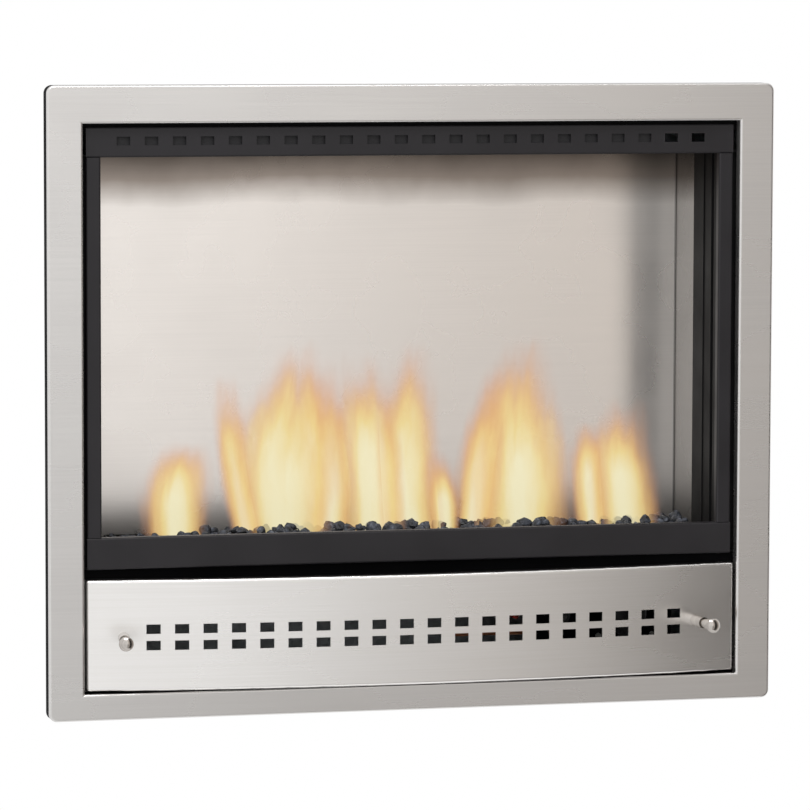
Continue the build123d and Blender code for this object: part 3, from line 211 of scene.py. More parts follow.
def bowedSteel(name, light, dark):
    material = brushedSteel(name, light, dark)
    tree = material.node_tree
    shader = next(node for node in tree.nodes if node.type == "BSDF_PRINCIPLED")
    place = next(node for node in tree.nodes if node.type == "TEX_COORD").outputs["Object"]
    low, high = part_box("access_panel")
    bend = bowShape["bend"]
    parts = addNode(tree, "ShaderNodeSeparateXYZ", inputs={"Vector": place})
    x, z = parts.outputs["X"], parts.outputs["Z"]
    nearTop = spread(tree, z, 0.0, 1.0, high.z - bend, high.z)
    nearFoot = spread(tree, z, 0.0, 1.0, low.z + bend, low.z)
    lean = doMath(tree, "ARCSINE", doMath(tree, "SUBTRACT", nearTop, nearFoot))
    nearRight = spread(tree, x, 0.0, 1.0, high.x - bend, high.x)
    nearLeft = spread(tree, x, 0.0, 1.0, low.x + bend, low.x)
    endTurn = doMath(tree, "ARCSINE", doMath(tree, "SUBTRACT", nearRight, nearLeft))
    bowTurn = doMath(tree, "ARCSINE", doMath(tree, "DIVIDE", x, bowShape["radius"]))
    turn = doMath(tree, "ADD", bowTurn, endTurn)
    flat = doMath(tree, "COSINE", lean)
    acrossX = doMath(tree, "MULTIPLY", doMath(tree, "SINE", turn), flat)
    acrossY = doMath(tree, "MULTIPLY", doMath(tree, "MULTIPLY", doMath(tree, "COSINE", turn), flat), -1.0)
    even = addNode(tree, "ShaderNodeCombineXYZ", inputs={
        "X": acrossX, "Y": acrossY, "Z": doMath(tree, "SINE", lean)}).outputs["Vector"]
    surface = addNode(tree, "ShaderNodeNewGeometry")
    match = addNode(tree, "ShaderNodeVectorMath", {"operation": "DOT_PRODUCT"}, {
        0: surface.outputs["True Normal"], 1: even})
    outside = doMath(tree, "GREATER_THAN", match.outputs["Value"], bowShape["agreement"])
    mixed = addNode(tree, "ShaderNodeMix", {"data_type": "VECTOR"}, {"Factor": outside})
    # a Mix node has its vectors in sockets 4 and 5, and gives their mix in 1
    tree.links.new(surface.outputs["Normal"], mixed.inputs[4])
    tree.links.new(even, mixed.inputs[5])
    tree.links.new(mixed.outputs[1], shader.inputs["Normal"])
    return material


# The firebox's steel back: the same sheet, with painted shade in straw and brown tones under the hood, and painted
# shade on its side returns and on the stretch just before them
backSteelShade = {
    "clear": "#F1ECE7",
    "straw": "#9A9088",
    "brown": "#554D46",
    "hoodFade": 0.070,
    "wanderScale": 9.0,
    "wanderDetail": 4.0,
    "wanderReach": 0.012,
    "streakLow": 0.98,
    "streakHigh": 1.01,
    # painted shade on the side returns and on the last stretch of the back before them
    "returnFace": 0.3912,
    "returnFade": 0.018,
    "returnFrom": 0.0014,
    "returnTo": 0.0010,
    "cornerShadeLevel": 0.93,
    "returnShadeLevel": 0.24,
    "roughLow": 0.25,
    "roughHigh": 0.31,
    "smear": 0.1,
}


def paintedShadeBackSteel():
    material, tree, shader, place = startMaterial("paintedShadeBackSteel")
    shading = backSteelShade
    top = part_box("firebox_back")[1].z
    parts = addNode(tree, "ShaderNodeSeparateXYZ", inputs={"Vector": place})
    wander = noiseAt(tree, place, shading["wanderScale"], detail=shading["wanderDetail"])
    heightIn = doMath(tree, "ADD", parts.outputs["Z"], spread(tree, wander, -shading["wanderReach"], shading["wanderReach"]))
    # painted shade: the steel goes through straw to brown towards the hood, along a wandering edge
    nearHood = spread(tree, heightIn, 0.0, 1.0, top - shading["hoodFade"], top)
    tint = rampBetween(tree, nearHood, [
        (0.0, colour(shading["clear"])), (0.5, colour(shading["straw"])), (1.0, colour(shading["brown"]))])
    grain = steelGrain(tree, shader, place)
    streak = spread(tree, grain, shading["streakLow"], shading["streakHigh"], *noiseSpan)
    # painted shade: the back darkens over its last 18 mm towards each side, and its side returns are taken down to
    # about a quarter
    reach = doMath(tree, "ABSOLUTE", parts.outputs["X"])
    face = shading["returnFace"]
    corner = spread(tree, reach, 1.0, shading["cornerShadeLevel"], face - shading["returnFade"], face)
    side = spread(tree, reach, 1.0, shading["returnShadeLevel"] / shading["cornerShadeLevel"],
                  face - shading["returnFrom"], face - shading["returnTo"])
    paintedShadeShare = doMath(tree, "MULTIPLY", doMath(tree, "MULTIPLY", corner, side), streak)
    toned = addNode(tree, "ShaderNodeVectorMath", {"operation": "SCALE"}, {0: tint, "Scale": paintedShadeShare})
    tree.links.new(toned.outputs["Vector"], shader.inputs["Base Color"])
    roughen(tree, shader, wander, shading["roughLow"], shading["roughHigh"], *noiseSpan)
    setShader(shader, 1.0, Anisotropic=shading["smear"])
    return material


# Sprayed paints and coats on sheet: a fine orange peel, and a little lighter dust in patches
paintFinish = {
    "cloudScale": 14.0,
    "cloudDetail": 5.0,
    "baseTo": 0.35,
    "wornFrom": 0.75,
    "smoother": 0.05,
    "rougher": 0.07,
    "peelScale": 900.0,
    "peelDetail": 2.0,
    "peelHeight": 0.00008,
    "peelShare": 0.35,
}


def paintedSheet(name, base, worn, roughness, specular=0.35):
    material, tree, shader, place = startMaterial(name)
    finish = paintFinish
    cloud = noiseAt(tree, place, finish["cloudScale"], detail=finish["cloudDetail"])
    paintBetween(tree, shader, cloud, (finish["baseTo"], base), (finish["wornFrom"], worn))
    roughen(tree, shader, cloud, roughness - finish["smoother"], roughness + finish["rougher"], *noiseSpan)
    setShader(shader, 0.0, Specular_IOR_Level=specular)
    peel = noiseAt(tree, place, finish["peelScale"], detail=finish["peelDetail"])
    addBump(tree, shader, peel, finish["peelHeight"], finish["peelShare"])
    return material


# Hot-dip galvanised sheet: zinc crystals about a centimetre across, their edges bent by a slow noise
zincCrystals = {
    "bendScale": 30.0,
    "bendDetail": 2.0,
    "bendReach": 0.02,
    "scale": 95.0,
    "dark": (0.1, "#A8ACAF"),
    "light": (0.9, "#BFC3C5"),
    "roughLow": 0.34,
    "roughHigh": 0.56,
    "height": 0.00003,
    "share": 0.4,
}


def galvanised():
    material, tree, shader, place = startMaterial("galvanisedSheet")
    zinc = zincCrystals
    bent = noiseAt(tree, place, zinc["bendScale"], detail=zinc["bendDetail"])
    offset = addNode(tree, "ShaderNodeCombineXYZ", inputs={"X": bent, "Y": bent, "Z": bent})
    scaled = addNode(tree, "ShaderNodeVectorMath", {"operation": "SCALE"}, {
        0: offset.outputs["Vector"], "Scale": zinc["bendReach"]})
    moved = addNode(tree, "ShaderNodeVectorMath", {"operation": "ADD"}, {0: place, 1: scaled.outputs["Vector"]})
    crystals = addNode(tree, "ShaderNodeTexVoronoi", inputs={
        "Vector": moved.outputs["Vector"], "Scale": zinc["scale"]})
    grey = addNode(tree, "ShaderNodeSeparateColor", inputs={"Color": crystals.outputs["Color"]})
    paintBetween(tree, shader, grey.outputs["Red"], zinc["dark"], zinc["light"])
    roughen(tree, shader, grey.outputs["Green"], zinc["roughLow"], zinc["roughHigh"])
    setShader(shader, 1.0)
    addBump(tree, shader, grey.outputs["Blue"], zinc["height"], zinc["share"])
    return material


# Small turned, plated, drawn or cast metal: a fine skin, and a darker bloom in patches
metalSkin = {
    "patchScale": 60.0,
    "patchDetail": 4.0,
    "darkTo": 0.32,
    "lightFrom": 0.68,
    "rougher": 0.08,
    "smoother": 0.03,
    "skinDetail": 2.0,
    "skinShare": 0.5,
}


def smallMetal(name, light, dark, roughness, skin=400.0, depth=0.00004):
    material, tree, shader, place = startMaterial(name)
    finish = metalSkin
    patches = noiseAt(tree, place, finish["patchScale"], detail=finish["patchDetail"])
    paintBetween(tree, shader, patches, (finish["darkTo"], dark), (finish["lightFrom"], light))
    roughen(tree, shader, patches, roughness + finish["rougher"], roughness - finish["smoother"], *noiseSpan)
    setShader(shader, 1.0)
    addBump(tree, shader, noiseAt(tree, place, skin, detail=finish["skinDetail"]), depth, finish["skinShare"])
    return material


# Turned and polished stainless: faint rings from the lathe
latheRings = {
    "scale": 900.0,
    "stretch": (0.02, 1.0, 0.02),
    "detail": 2.0,
    "dark": "#ABA5A0",
    "light": "#C6C1BB",
    "roughLow": 0.14,
    "roughHigh": 0.22,
    "depth": 0.00002,
    "share": 0.4,
}


def turnedSteel():
    material, tree, shader, place = startMaterial("turnedSteel")
    lathe = latheRings
    rings = noiseAt(tree, place, lathe["scale"], lathe["stretch"], lathe["detail"])
    paintBetween(tree, shader, rings, (noiseSpan[0], lathe["dark"]), (noiseSpan[1], lathe["light"]))
    roughen(tree, shader, rings, lathe["roughLow"], lathe["roughHigh"])
    setShader(shader, 1.0)
    addBump(tree, shader, rings, lathe["depth"], lathe["share"])
    return material


# Moulded plastic and rubber: spark-eroded grain
mouldGrain = {
    "cloudScale": 45.0,
    "baseTo": 0.3,
    "wornFrom": 0.75,
    "rougher": 0.1,
    "scale": 1500.0,
    "detail": 2.0,
    "height": 0.00005,
    "share": 0.4,
}


def moulded(name, base, worn, roughness, specular=0.5):
    material, tree, shader, place = startMaterial(name)
    mould = mouldGrain
    cloud = noiseAt(tree, place, mould["cloudScale"])
    paintBetween(tree, shader, cloud, (mould["baseTo"], base), (mould["wornFrom"], worn))
    roughen(tree, shader, cloud, roughness, roughness + mould["rougher"])
    setShader(shader, 0.0, Specular_IOR_Level=specular)
    grain = noiseAt(tree, place, mould["scale"], detail=mould["detail"])
    addBump(tree, shader, grain, mould["height"], mould["share"])
    return material


# Broken charcoal: soft black with grey ash on high grains and glints on fresh breaks
charcoalLook = {
    "ashScale": 170.0,
    "ashDetail": 6.0,
    "tones": [(0.34, "#131518"), (0.5, "#2B2E35"), (0.62, "#474B55"), (0.8, "#7C818B")],
    "glossy": (0.35, 0.42),
    "dusty": (0.6, 0.8),
    "specular": 0.6,
    "breakScale": 420.0,
    "breakDetail": 5.0,
    "breakHeight": 0.0012,
    "breakShare": 0.8,
}


def charcoal():
    material, tree, shader, place = startMaterial("charcoal")
    look = charcoalLook
    ash = noiseAt(tree, place, look["ashScale"], detail=look["ashDetail"])
    paintBetween(tree, shader, ash, *look["tones"])
    (glossyTo, smooth), (dustyFrom, rough) = look["glossy"], look["dusty"]
    roughen(tree, shader, ash, smooth, rough, glossyTo, dustyFrom)
    setShader(shader, 0.0, Specular_IOR_Level=look["specular"])
    breaks = noiseAt(tree, place, look["breakScale"], detail=look["breakDetail"])
    addBump(tree, shader, breaks, look["breakHeight"], look["breakShare"])
    return material


# Natural gas flame: pale yellow in the heart, orange and then pink towards the edge, fading at the tip
flameLook = {
    "tones": [(0.04, "#DC9A72"), (0.3, "#E6B576"), (0.64, "#EFD894"), (0.97, "#F4ECC4")],
    "strength": 1.0,
    "cover": 0.55,
    "coverFrom": 0.5,
    "lickScale": 24.0,
    "lickStretch": (1.5, 1.5, 0.4),
    "sway": 0.3,
    "tipSway": 0.7,
    "bodyReach": 0.95,
    "sideFade": 0.82,
    "endFade": 0.9,
    "tipFrom": 0.25,
    "tipTo": 0.97,
}


def flame():
    material, tree, shader, place = startMaterial("gasFlame")
    look = flameLook
    along = addNode(tree, "ShaderNodeUVMap", {"uv_map": "flameUv"})
    parts = addNode(tree, "ShaderNodeSeparateXYZ", inputs={"Vector": along.outputs["UV"]})
    lick = noiseAt(tree, place, look["lickScale"], look["lickStretch"])
    sway = spread(tree, lick, -look["sway"], look["sway"])
    # 0 on the upright axis and 1 at either edge, then pushed about by the licks
    side = doMath(tree, "ABSOLUTE", doMath(tree, "MULTIPLY_ADD", parts.outputs["X"], 2.0, -1.0))
    moved = doMath(tree, "ADD", side, sway)
    inner = spread(tree, moved, 1.0, 0.0, 0.0, look["bodyReach"], "SMOOTHSTEP")
    rim = doMath(tree, "MULTIPLY", spread(tree, side, 1.0, 0.0, look["sideFade"], 1.0),
                 spread(tree, parts.outputs["Y"], 1.0, 0.0, look["endFade"], 1.0))
    tip = doMath(tree, "MULTIPLY_ADD", sway, look["tipSway"], parts.outputs["Y"])
    top = spread(tree, tip, 1.0, 0.0, look["tipFrom"], look["tipTo"], "SMOOTHSTEP")
    body = doMath(tree, "MULTIPLY", inner, top)
    tone = rampBetween(tree, body, [(position, colour(hexCode)) for position, hexCode in look["tones"]])
    softened = spread(tree, body, 0.0, look["cover"], 0.0, look["coverFrom"])
    glow = addNode(tree, "ShaderNodeEmission", inputs={"Color": tone, "Strength": look["strength"]})
    clear = addNode(tree, "ShaderNodeBsdfTransparent")
    mixed = addNode(tree, "ShaderNodeMixShader", inputs={
        0: doMath(tree, "MULTIPLY", softened, rim), 1: clear.outputs[0], 2: glow.outputs[0]})
    showInstead(tree, shader, mixed.outputs[0])
    return material


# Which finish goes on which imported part
def dressParts():
    stovePaint = paintedSheet("stovePaint", "#1A181B", "#211F22", 0.42, 0.35)
    # the firebox's black paint, darker and less shiny than the stove paint: partly its own flat black, partly painted
    # shade inside the firebox
    firePaintAndShade = paintedSheet("firePaintAndShade", "#0B0B0C", "#131213", 0.55, 0.12)
    # near-black powder coat with almost no sheen: partly its own black, partly painted shade in the control bay behind
    # the panel's slots
    powderAndShade = paintedSheet("powderCoatAndShade", "#070708", "#0C0C0D", 0.6, 0.02)
    zinc = smallMetal("zincPlate", "#C4C5C4", "#A3A39C", 0.36)
    sheet = galvanised()
    burnt = smallMetal("burntStainless", "#8D8178", "#5B4F4A", 0.42)
    brass = smallMetal("turnedBrass", "#D9BD72", "#B99650", 0.28)
    copper = smallMetal("drawnCopper", "#C98A67", "#A0603F", 0.32)
    cast = smallMetal("castAluminium", "#8E8F90", "#727375", 0.5, 700.0, 0.0001)
    wire = smallMetal("springWire", "#B5B5B4", "#8D8D8C", 0.25)
    finishes = {
        brushedSteel("brushedSteel", "#D9D7D5", "#D5D3D1"): ["surround_frame"],
        # the access panel takes the frame's brushed steel in a lighter copy: painted light, as the panel catches more
        # light than the frame
        bowedSteel("panelSteelPaintedLighter", "#F2F0EE", "#EEECE9"): ["access_panel"],
        paintedShadeBackSteel(): ["firebox_back"],
        stovePaint: ["louvre_strip", "left_jamb", "right_jamb", "bottom_rail"],
        paintedSheet("deflectorPaint", "#262527", "#2D2C2E", 0.55): ["deflector_plate"],
        firePaintAndShade: ["left_side_wall", "right_side_wall", "firebox_hood", "firebox_floor", "upper_front_plate",
                    "burner_tray"],
        powderAndShade: ["surround_carrier", "bay_frame", "control_plate"],
        sheet: ["casing_left", "casing_right", "casing_top", "casing_bottom", "casing_back", "heat_shield"],
        zinc: ["wall_bracket", "casing_hook", "frame_studs", "casing_rivets", "plate_screws",
               "pull_knob_screws", "panel_lugs"],
        moulded("blackRubber", "#1A1A1A", "#262626", 0.75, 0.3): ["wall_spacers"],
        turnedSteel(): ["left_pull_knob", "right_pull_knob"],
        burnt: ["rock_grate", "burner_tube", "mixer_tube", "pilot_bracket", "pilot_burner", "thermocouple"],
        brass: ["air_shutter", "gas_injector", "inlet_tail"],
        copper: ["manifold_pipe", "pilot_pipe", "supply_pipe", "thermocouple_lead"],
        cast: ["gas_valve", "gas_regulator"],
        wire: ["spindle_spring", "igniter_spring", "valve_spindle"],
        moulded("blackNylon", "#171717", "#202020", 0.45): ["control_knob", "igniter_body"],
        moulded("glossBlackAbs", "#121213", "#19191A", 0.16): ["igniter_button"],
        smallMetal("satinAnodised", "#55565A", "#4A4B4E", 0.4): ["dial_ring"],
        moulded("glazedCeramic", "#E4DFD2", "#EFEBE0", 0.15): ["spark_electrode"],
        moulded("siliconeSleeve", "#8E2A1C", "#9D3426", 0.6, 0.35): ["ignition_lead"],
        smallMetal("nickelMagnet", "#A9A7A2", "#8F8D89", 0.22): ["panel_magnets"],
    }
    dressed = set()
    for material, nodes in finishes.items():
        for node in nodes:
            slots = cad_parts[node].data.materials
            slots.clear()
            slots.append(material)
            dressed.add(node)
    print("finishes on", len(dressed), "of", len(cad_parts), "parts")


def pick(*pieces):
    # only these pieces selected, with the first one active
    if bpy.context.object and bpy.context.object.mode != "OBJECT":
        bpy.ops.object.mode_set(mode="OBJECT")
    bpy.ops.object.select_all(action="DESELECT")
    for piece in pieces:
        piece.select_set(True)
    bpy.context.view_layer.objects.active = pieces[0]


def finishPiece(piece, name, material, body):
    # one finish, its place kept in the mesh, and the body that carries it
    piece.name = name
    piece.data.name = name
    piece.data.materials.clear()
    piece.data.materials.append(material)
    pick(piece)
    bpy.ops.object.transform_apply(location=True, rotation=True, scale=True)
    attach(piece, body)
    return piece


def joinPieces(pieces):
    pick(*pieces)
    bpy.ops.object.join()
    return bpy.context.object


# Charcoal: rough broken lumps heaped on the grate, fewest at the far left
coalBed = {
    "seed": 5,
    "shapes": 9,
    "columns": 66,
    "rows": 6,
    "jitter": (0.25, 0.75),
    "sizes": (0.0046, 0.0090),
    "sunk": 0.7,
    "heap": 0.0075,
    "bareShare": 0.155,
    "bareSize": 0.8,
    "leans": (-0.6, 0.6),
}
# A second layer of bigger lumps shows over the rail, and a few strays lie at the far left
coalCrown = {"count": 60, "rows": (0.5, 3.5), "sizes": (0.0058, 0.0098), "above": 0.0125, "sunk": 0.4, "endGap": 0.02}
coalStrays = {"places": [-0.335, -0.318, -0.285, -0.276, -0.268], "above": 0.012, "size": 0.006}
# The shape of a lump, as shares of its radius
lumpLook = {
    "apart": 7.3,
    "offsets": (0, 9),
    "stretches": [(0.85, 1.25), (0.8, 1.1), (0.65, 0.95)],
    "swell": 0.34,
    "swellScale": 1.3,
    "dents": 0.085,
    "dentScale": 4.1,
    "cuts": 7,
    "cutReach": (0.5, 0.8),
}


def lumpShape(chance, index):
    # an icosphere pushed in and out so that it breaks into facets
    look = lumpLook
    bpy.ops.mesh.primitive_ico_sphere_add(subdivisions=2, radius=1.0, location=(0, 0, 0))
    lump = bpy.context.object
    offset = Vector((index * look["apart"], chance.uniform(*look["offsets"]), chance.uniform(*look["offsets"])))
    stretch = Vector([chance.uniform(*span) for span in look["stretches"]])
    for vertex in lump.data.vertices:
        push = 1 + look["swell"] * noise.noise(vertex.co * look["swellScale"] + offset)
        push += look["dents"] * noise.noise(vertex.co * look["dentScale"] + offset)
        vertex.co = Vector([c * s for c, s in zip(vertex.co, stretch)]) * push
    for cut in range(look["cuts"]):
        # flat breaks: whatever stands beyond a plane is pressed back onto it
        across = Vector([chance.gauss(0, 1) for axis in range(3)]).normalized()
        reach = chance.uniform(*look["cutReach"])
        for vertex in lump.data.vertices:
            over = vertex.co.dot(across) - reach
            if over > 0:
                vertex.co -= across * over
    return lump


def lumpPlaces(chance, low, high):
    # middle and size of every lump
    bed, crown, strays = coalBed, coalCrown, coalStrays
    stepX = (high.x - low.x) / bed["columns"]
    stepY = (high.y - low.y) / bed["rows"]
    bareEnd = low.x + (high.x - low.x) * bed["bareShare"]
    places = []
    for column in range(bed["columns"]):
        for row in range(bed["rows"]):
            x = low.x + stepX * (column + chance.uniform(*bed["jitter"]))
            y = low.y + stepY * (row + chance.uniform(*bed["jitter"]))
            size = chance.uniform(*bed["sizes"])
            lift = 0.0 if x < bareEnd else bed["heap"] * chance.random()
            places.append((x, y, low.z + size * bed["sunk"] + lift, size * (bed["bareSize"] if x < bareEnd else 1.0)))
    for index in range(crown["count"]):
        x = chance.uniform(bareEnd, high.x - crown["endGap"])
        y = low.y + stepY * chance.uniform(*crown["rows"])
        size = chance.uniform(*crown["sizes"])
        places.append((x, y, low.z + crown["above"] + size * crown["sunk"], size))
    for x in strays["places"]:
        places.append((x, low.y + stepY, low.z + strays["above"], strays["size"]))
    return places


def makeCharcoal():
    chance = random.Random(coalBed["seed"])
    low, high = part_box("charcoal_chips")
    shapes = [lumpShape(chance, index) for index in range(coalBed["shapes"])]
    meshes = [shape.data for shape in shapes]
    places = lumpPlaces(chance, low, high)
    lumps = []
    for x, y, z, size in places:
        lump = bpy.data.objects.new("lump", chance.choice(meshes).copy())
        bpy.context.scene.collection.objects.link(lump)
        turned = Matrix.Rotation(chance.uniform(0, 2 * pi), 4, "Z") @ Matrix.Rotation(
            chance.uniform(*coalBed["leans"]), 4, "X")
        x = min(max(x, low.x + size), high.x - size)
        y = min(max(y, low.y + size), high.y - size)
        lump.data.transform(Matrix.Translation((x, y, z)) @ turned @ Matrix.Scale(size, 4))
        lumps.append(lump)
    pick(*shapes)
    bpy.ops.object.delete()
    bed = finishPiece(joinPieces(lumps), "charcoalLumps", charcoal(), "fireplace")
    bed.visible_glossy = False
    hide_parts("charcoal_chips")
    print("charcoal:", len(places), "lumps,", len(bed.data.polygons), "faces")


# Flames: each tongue is three thin sheets that cross on its upright axis
tongues = [
    # stations from foot to tip: middle, height, half width; then the depth behind the burner's middle
    {"stations": [(-0.290, -0.384, 0.042), (-0.291, -0.346, 0.046), (-0.285, -0.312, 0.042), (-0.276, -0.284, 0.030),
                  (-0.270, -0.262, 0.012)], "heart": 0.5, "into": 0.0},
    {"stations": [(-0.196, -0.384, 0.022), (-0.207, -0.330, 0.020), (-0.215, -0.280, 0.017), (-0.219, -0.236, 0.013),
                  (-0.224, -0.180, 0.007)], "heart": 0.5, "into": 0.008},
    {"stations": [(-0.150, -0.384, 0.064), (-0.150, -0.331, 0.076), (-0.149, -0.282, 0.072), (-0.138, -0.226, 0.056),
                  (-0.128, -0.180, 0.042), (-0.120, -0.140, 0.026)], "heart": 0.4, "into": 0.0},
    {"stations": [(-0.092, -0.384, 0.034), (-0.090, -0.330, 0.036), (-0.096, -0.280, 0.032), (-0.104, -0.225, 0.026),
                  (-0.108, -0.165, 0.014)], "heart": 0.5, "into": 0.010},
    {"stations": [(-0.040, -0.384, 0.046), (-0.042, -0.321, 0.044), (-0.046, -0.259, 0.038), (-0.052, -0.206, 0.028),
                  (-0.058, -0.150, 0.014)], "heart": 0.4, "into": -0.004},
    {"stations": [(0.010, -0.384, 0.054), (0.004, -0.322, 0.050), (0.002, -0.260, 0.042), (0.008, -0.204, 0.030),
                  (0.016, -0.140, 0.014)], "heart": 0.5, "into": 0.010},
    {"stations": [(0.052, -0.384, 0.022), (0.050, -0.352, 0.021), (0.046, -0.318, 0.017), (0.041, -0.278, 0.009)],
     "heart": 0.45, "into": -0.008},
    {"stations": [(0.092, -0.384, 0.030), (0.098, -0.330, 0.032), (0.106, -0.280, 0.028), (0.118, -0.228, 0.020),
                  (0.130, -0.180, 0.010)], "heart": 0.5, "into": 0.010},
    {"stations": [(0.150, -0.384, 0.072), (0.150, -0.326, 0.078), (0.146, -0.275, 0.070), (0.145, -0.225, 0.052),
                  (0.152, -0.184, 0.034), (0.162, -0.138, 0.016)], "heart": 0.56, "into": 0.0},
    {"stations": [(0.247, -0.384, 0.024), (0.243, -0.330, 0.020), (0.239, -0.290, 0.016), (0.236, -0.250, 0.008)],
     "heart": 0.5, "into": 0.008},
    {"stations": [(0.288, -0.384, 0.048), (0.285, -0.335, 0.046), (0.282, -0.295, 0.040), (0.285, -0.258, 0.030),
                  (0.292, -0.218, 0.014)], "heart": 0.45, "into": 0.0},
]
flameSheet = {"across": 12, "upward": 26, "turns": (0, 38, 142), "flatness": 0.8, "wider": 1.12, "tipHalf": 0.016,
              "seenThrough": 48}


def stationAt(stations, share):
    # middle, height and half width at a share of the way from foot to tip, on a smooth curve
    place = share * (len(stations) - 1)
    index = min(int(place), len(stations) - 2)
    step = place - index
    before, start, after, beyond = (
        stations[min(max(index + shift, 0), len(stations) - 1)] for shift in (-1, 0, 1, 2))
    return [
        0.5 * (2 * b + (c - a) * step + (2 * a - 5 * b + 4 * c - d) * step ** 2 + (3 * b - a - 3 * c + d) * step ** 3)
        for a, b, c, d in zip(before, start, after, beyond)]


def makeTongue(tongue, turn, middleDepth):
    # a grid stood upright along the stations, its heart moved to one side
    bpy.ops.mesh.primitive_grid_add(
        x_subdivisions=flameSheet["across"], y_subdivisions=flameSheet["upward"], size=1.0, location=(0, 0, 0))
    sheet = bpy.context.object
    layer = sheet.data.uv_layers[0]
    layer.name = "flameUv"
    heart = tongue["heart"]
    for corner in layer.data:
        across = corner.uv.x
        corner.uv.x = across / heart / 2 if across < heart else 1 - (1 - across) / (1 - heart) / 2
    angle = radians(turn)
    for vertex in sheet.data.vertices:
        middle, height, half = stationAt(tongue["stations"], vertex.co.y + 0.5)
        out = vertex.co.x * 2 * (half * flameSheet["wider"] + flameSheet["tipHalf"] * (vertex.co.y + 0.5))
        vertex.co = Vector((
            middle + out * cos(angle),
            middleDepth + tongue["into"] + out * sin(angle) * flameSheet["flatness"],
            height))
    return sheet


def makeFlames():
    low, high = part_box("burner_tube")
    middleDepth = (low.y + high.y) / 2
    material = flame()
    bpy.context.scene.cycles.transparent_max_bounces = flameSheet["seenThrough"]
    for number, tongue in enumerate(tongues):
        sheets = [makeTongue(tongue, turn, middleDepth) for turn in flameSheet["turns"]]
        piece = finishPiece(joinPieces(sheets), f"flameTongue{number + 1}", material, "fireplace")
        piece.visible_glossy = False
        piece.visible_shadow = False
    print("flames:", len(tongues), "tongues")


# Raised marks round the control knob, one long mark at each end and in the middle of its turn
dialMarks = {
    "count": 15,
    "longEvery": 7,
    "sweep": 210.0,
    "start": 90.0,
    "radius": 0.0245,
    "long": 0.0052,
    "short": 0.003,
    "width": 0.0009,
    "height": 0.0005,
    "softEdge": 0.00015,
}


def makeDialMarks():
    low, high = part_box("dial_ring")
    middle = (low + high) / 2
    marks = []
    for index in range(dialMarks["count"]):
        share = index / (dialMarks["count"] - 1)
        angle = radians(dialMarks["start"] - dialMarks["sweep"] * share)
        length = dialMarks["short"] if index % dialMarks["longEvery"] else dialMarks["long"]
        bpy.ops.mesh.primitive_cube_add(size=1.0, location=(0, 0, 0))
        mark = bpy.context.object
        mark.data.transform(Matrix.Diagonal((length, dialMarks["height"], dialMarks["width"], 1)))
        reach = dialMarks["radius"]
        place = Vector((middle.x + reach * cos(angle), low.y - dialMarks["height"] / 2,
                        middle.z + reach * sin(angle)))
        mark.data.transform(Matrix.Translation(place) @ Matrix.Rotation(-angle, 4, "Y"))
        marks.append(mark)
    piece = joinPieces(marks)
    pick(piece)
    bevel = piece.modifiers.new("softEdges", "BEVEL")
    bevel.width = dialMarks["softEdge"]
    bevel.segments = 2
    bpy.ops.object.modifier_apply(modifier="softEdges")
    finishPiece(piece, "dialMarks", moulded("printedBlack", "#141414", "#1B1B1B", 0.5), "fireplace")
    print("dial marks:", dialMarks["count"])


# Studio: pale floor, white surroundings, soft boxes and a card that only reflections see
studio = {
    "floorHeight": -3.0,
    "floorSize": 16.0,
    "floorColour": "#F4F3F1",
    "floorSpeck": "#FAFAF9",
    "speckScale": 3.0,
    "floorRough": 0.9,
    "floorShine": 0.1,
    "floorLift": 0.42,
    "worldFill": 0.62,
}


def seenLevel(tree, names):
    # 1 for the kinds of ray that are named, 0 for the others
    path = addNode(tree, "ShaderNodeLightPath")
    level = path.outputs[names[0]]
    for name in names[1:]:
        level = doMath(tree, "MAXIMUM", level, path.outputs[name])
    return level


def makeFloor():
    bpy.ops.mesh.primitive_plane_add(size=studio["floorSize"], location=(0, 0, studio["floorHeight"]))
    floor = bpy.context.object
    floor.name = "studioFloor"
    material, tree, shader, place = startMaterial("paleFloor")
    paintBetween(tree, shader, noiseAt(tree, place, studio["speckScale"]),
                 (0.0, studio["floorColour"]), (1.0, studio["floorSpeck"]))
    setShader(shader, 0.0, studio["floorRough"], Specular_IOR_Level=studio["floorShine"],
              Emission_Color=(1, 1, 1, 1))
    level = seenLevel(tree, ["Is Camera Ray", "Is Transmission Ray"])
    lift = doMath(tree, "MULTIPLY", level, studio["floorLift"])
    tree.links.new(lift, shader.inputs["Emission Strength"])
    floor.data.materials.append(material)
    floor.visible_glossy = False


def makeWorld():
    world = bpy.data.worlds.new("studioWorld")
    bpy.context.scene.world = world
    world.use_nodes = True
    tree = world.node_tree
    tree.nodes.clear()
    level = seenLevel(tree, ["Is Camera Ray", "Is Glossy Ray", "Is Transmission Ray"])
    strength = spread(tree, level, studio["worldFill"], 1.0)
    glow = addNode(tree, "ShaderNodeBackground", inputs={"Color": (1, 1, 1, 1), "Strength": strength})
    addNode(tree, "ShaderNodeOutputWorld", inputs={"Surface": glow.outputs[0]})


# The card stands round the front: bright to the left, dark to the right, and darker below the unit
shadeCard = {
    "distance": 5.2,
    "fromAngle": -90.0,
    "toAngle": 90.0,
    "steps": 96,
    "bottom": -7.0,
    "top": 7.0,
    "fadeLow": -1.9,
    "fadeHigh": 0.5,
    # angle from straight ahead, level above the fade, level below it
    "levels": [
        (-90, 1.0, 0.9), (-5, 1.15, 0.98), (0, 1.18, 0.95), (6, 1.22, 0.64), (9.5, 1.60, 0.36), (13, 0.86, 0.36),
        (17.5, 0.44, 0.38), (20.5, 1.02, 0.92), (26, 0.88, 0.62), (29, 0.32, 0.16), (32, 0.04, 0.02),
        (38, 0.02, 0.02), (60, 0.10, 0.10), (78, 0.7, 0.6), (90, 1.0, 0.9)],
    "warmFrom": 6.0,
    "warmTo": 17.0,
    "warmth": (1.0, 0.93, 0.87),
}


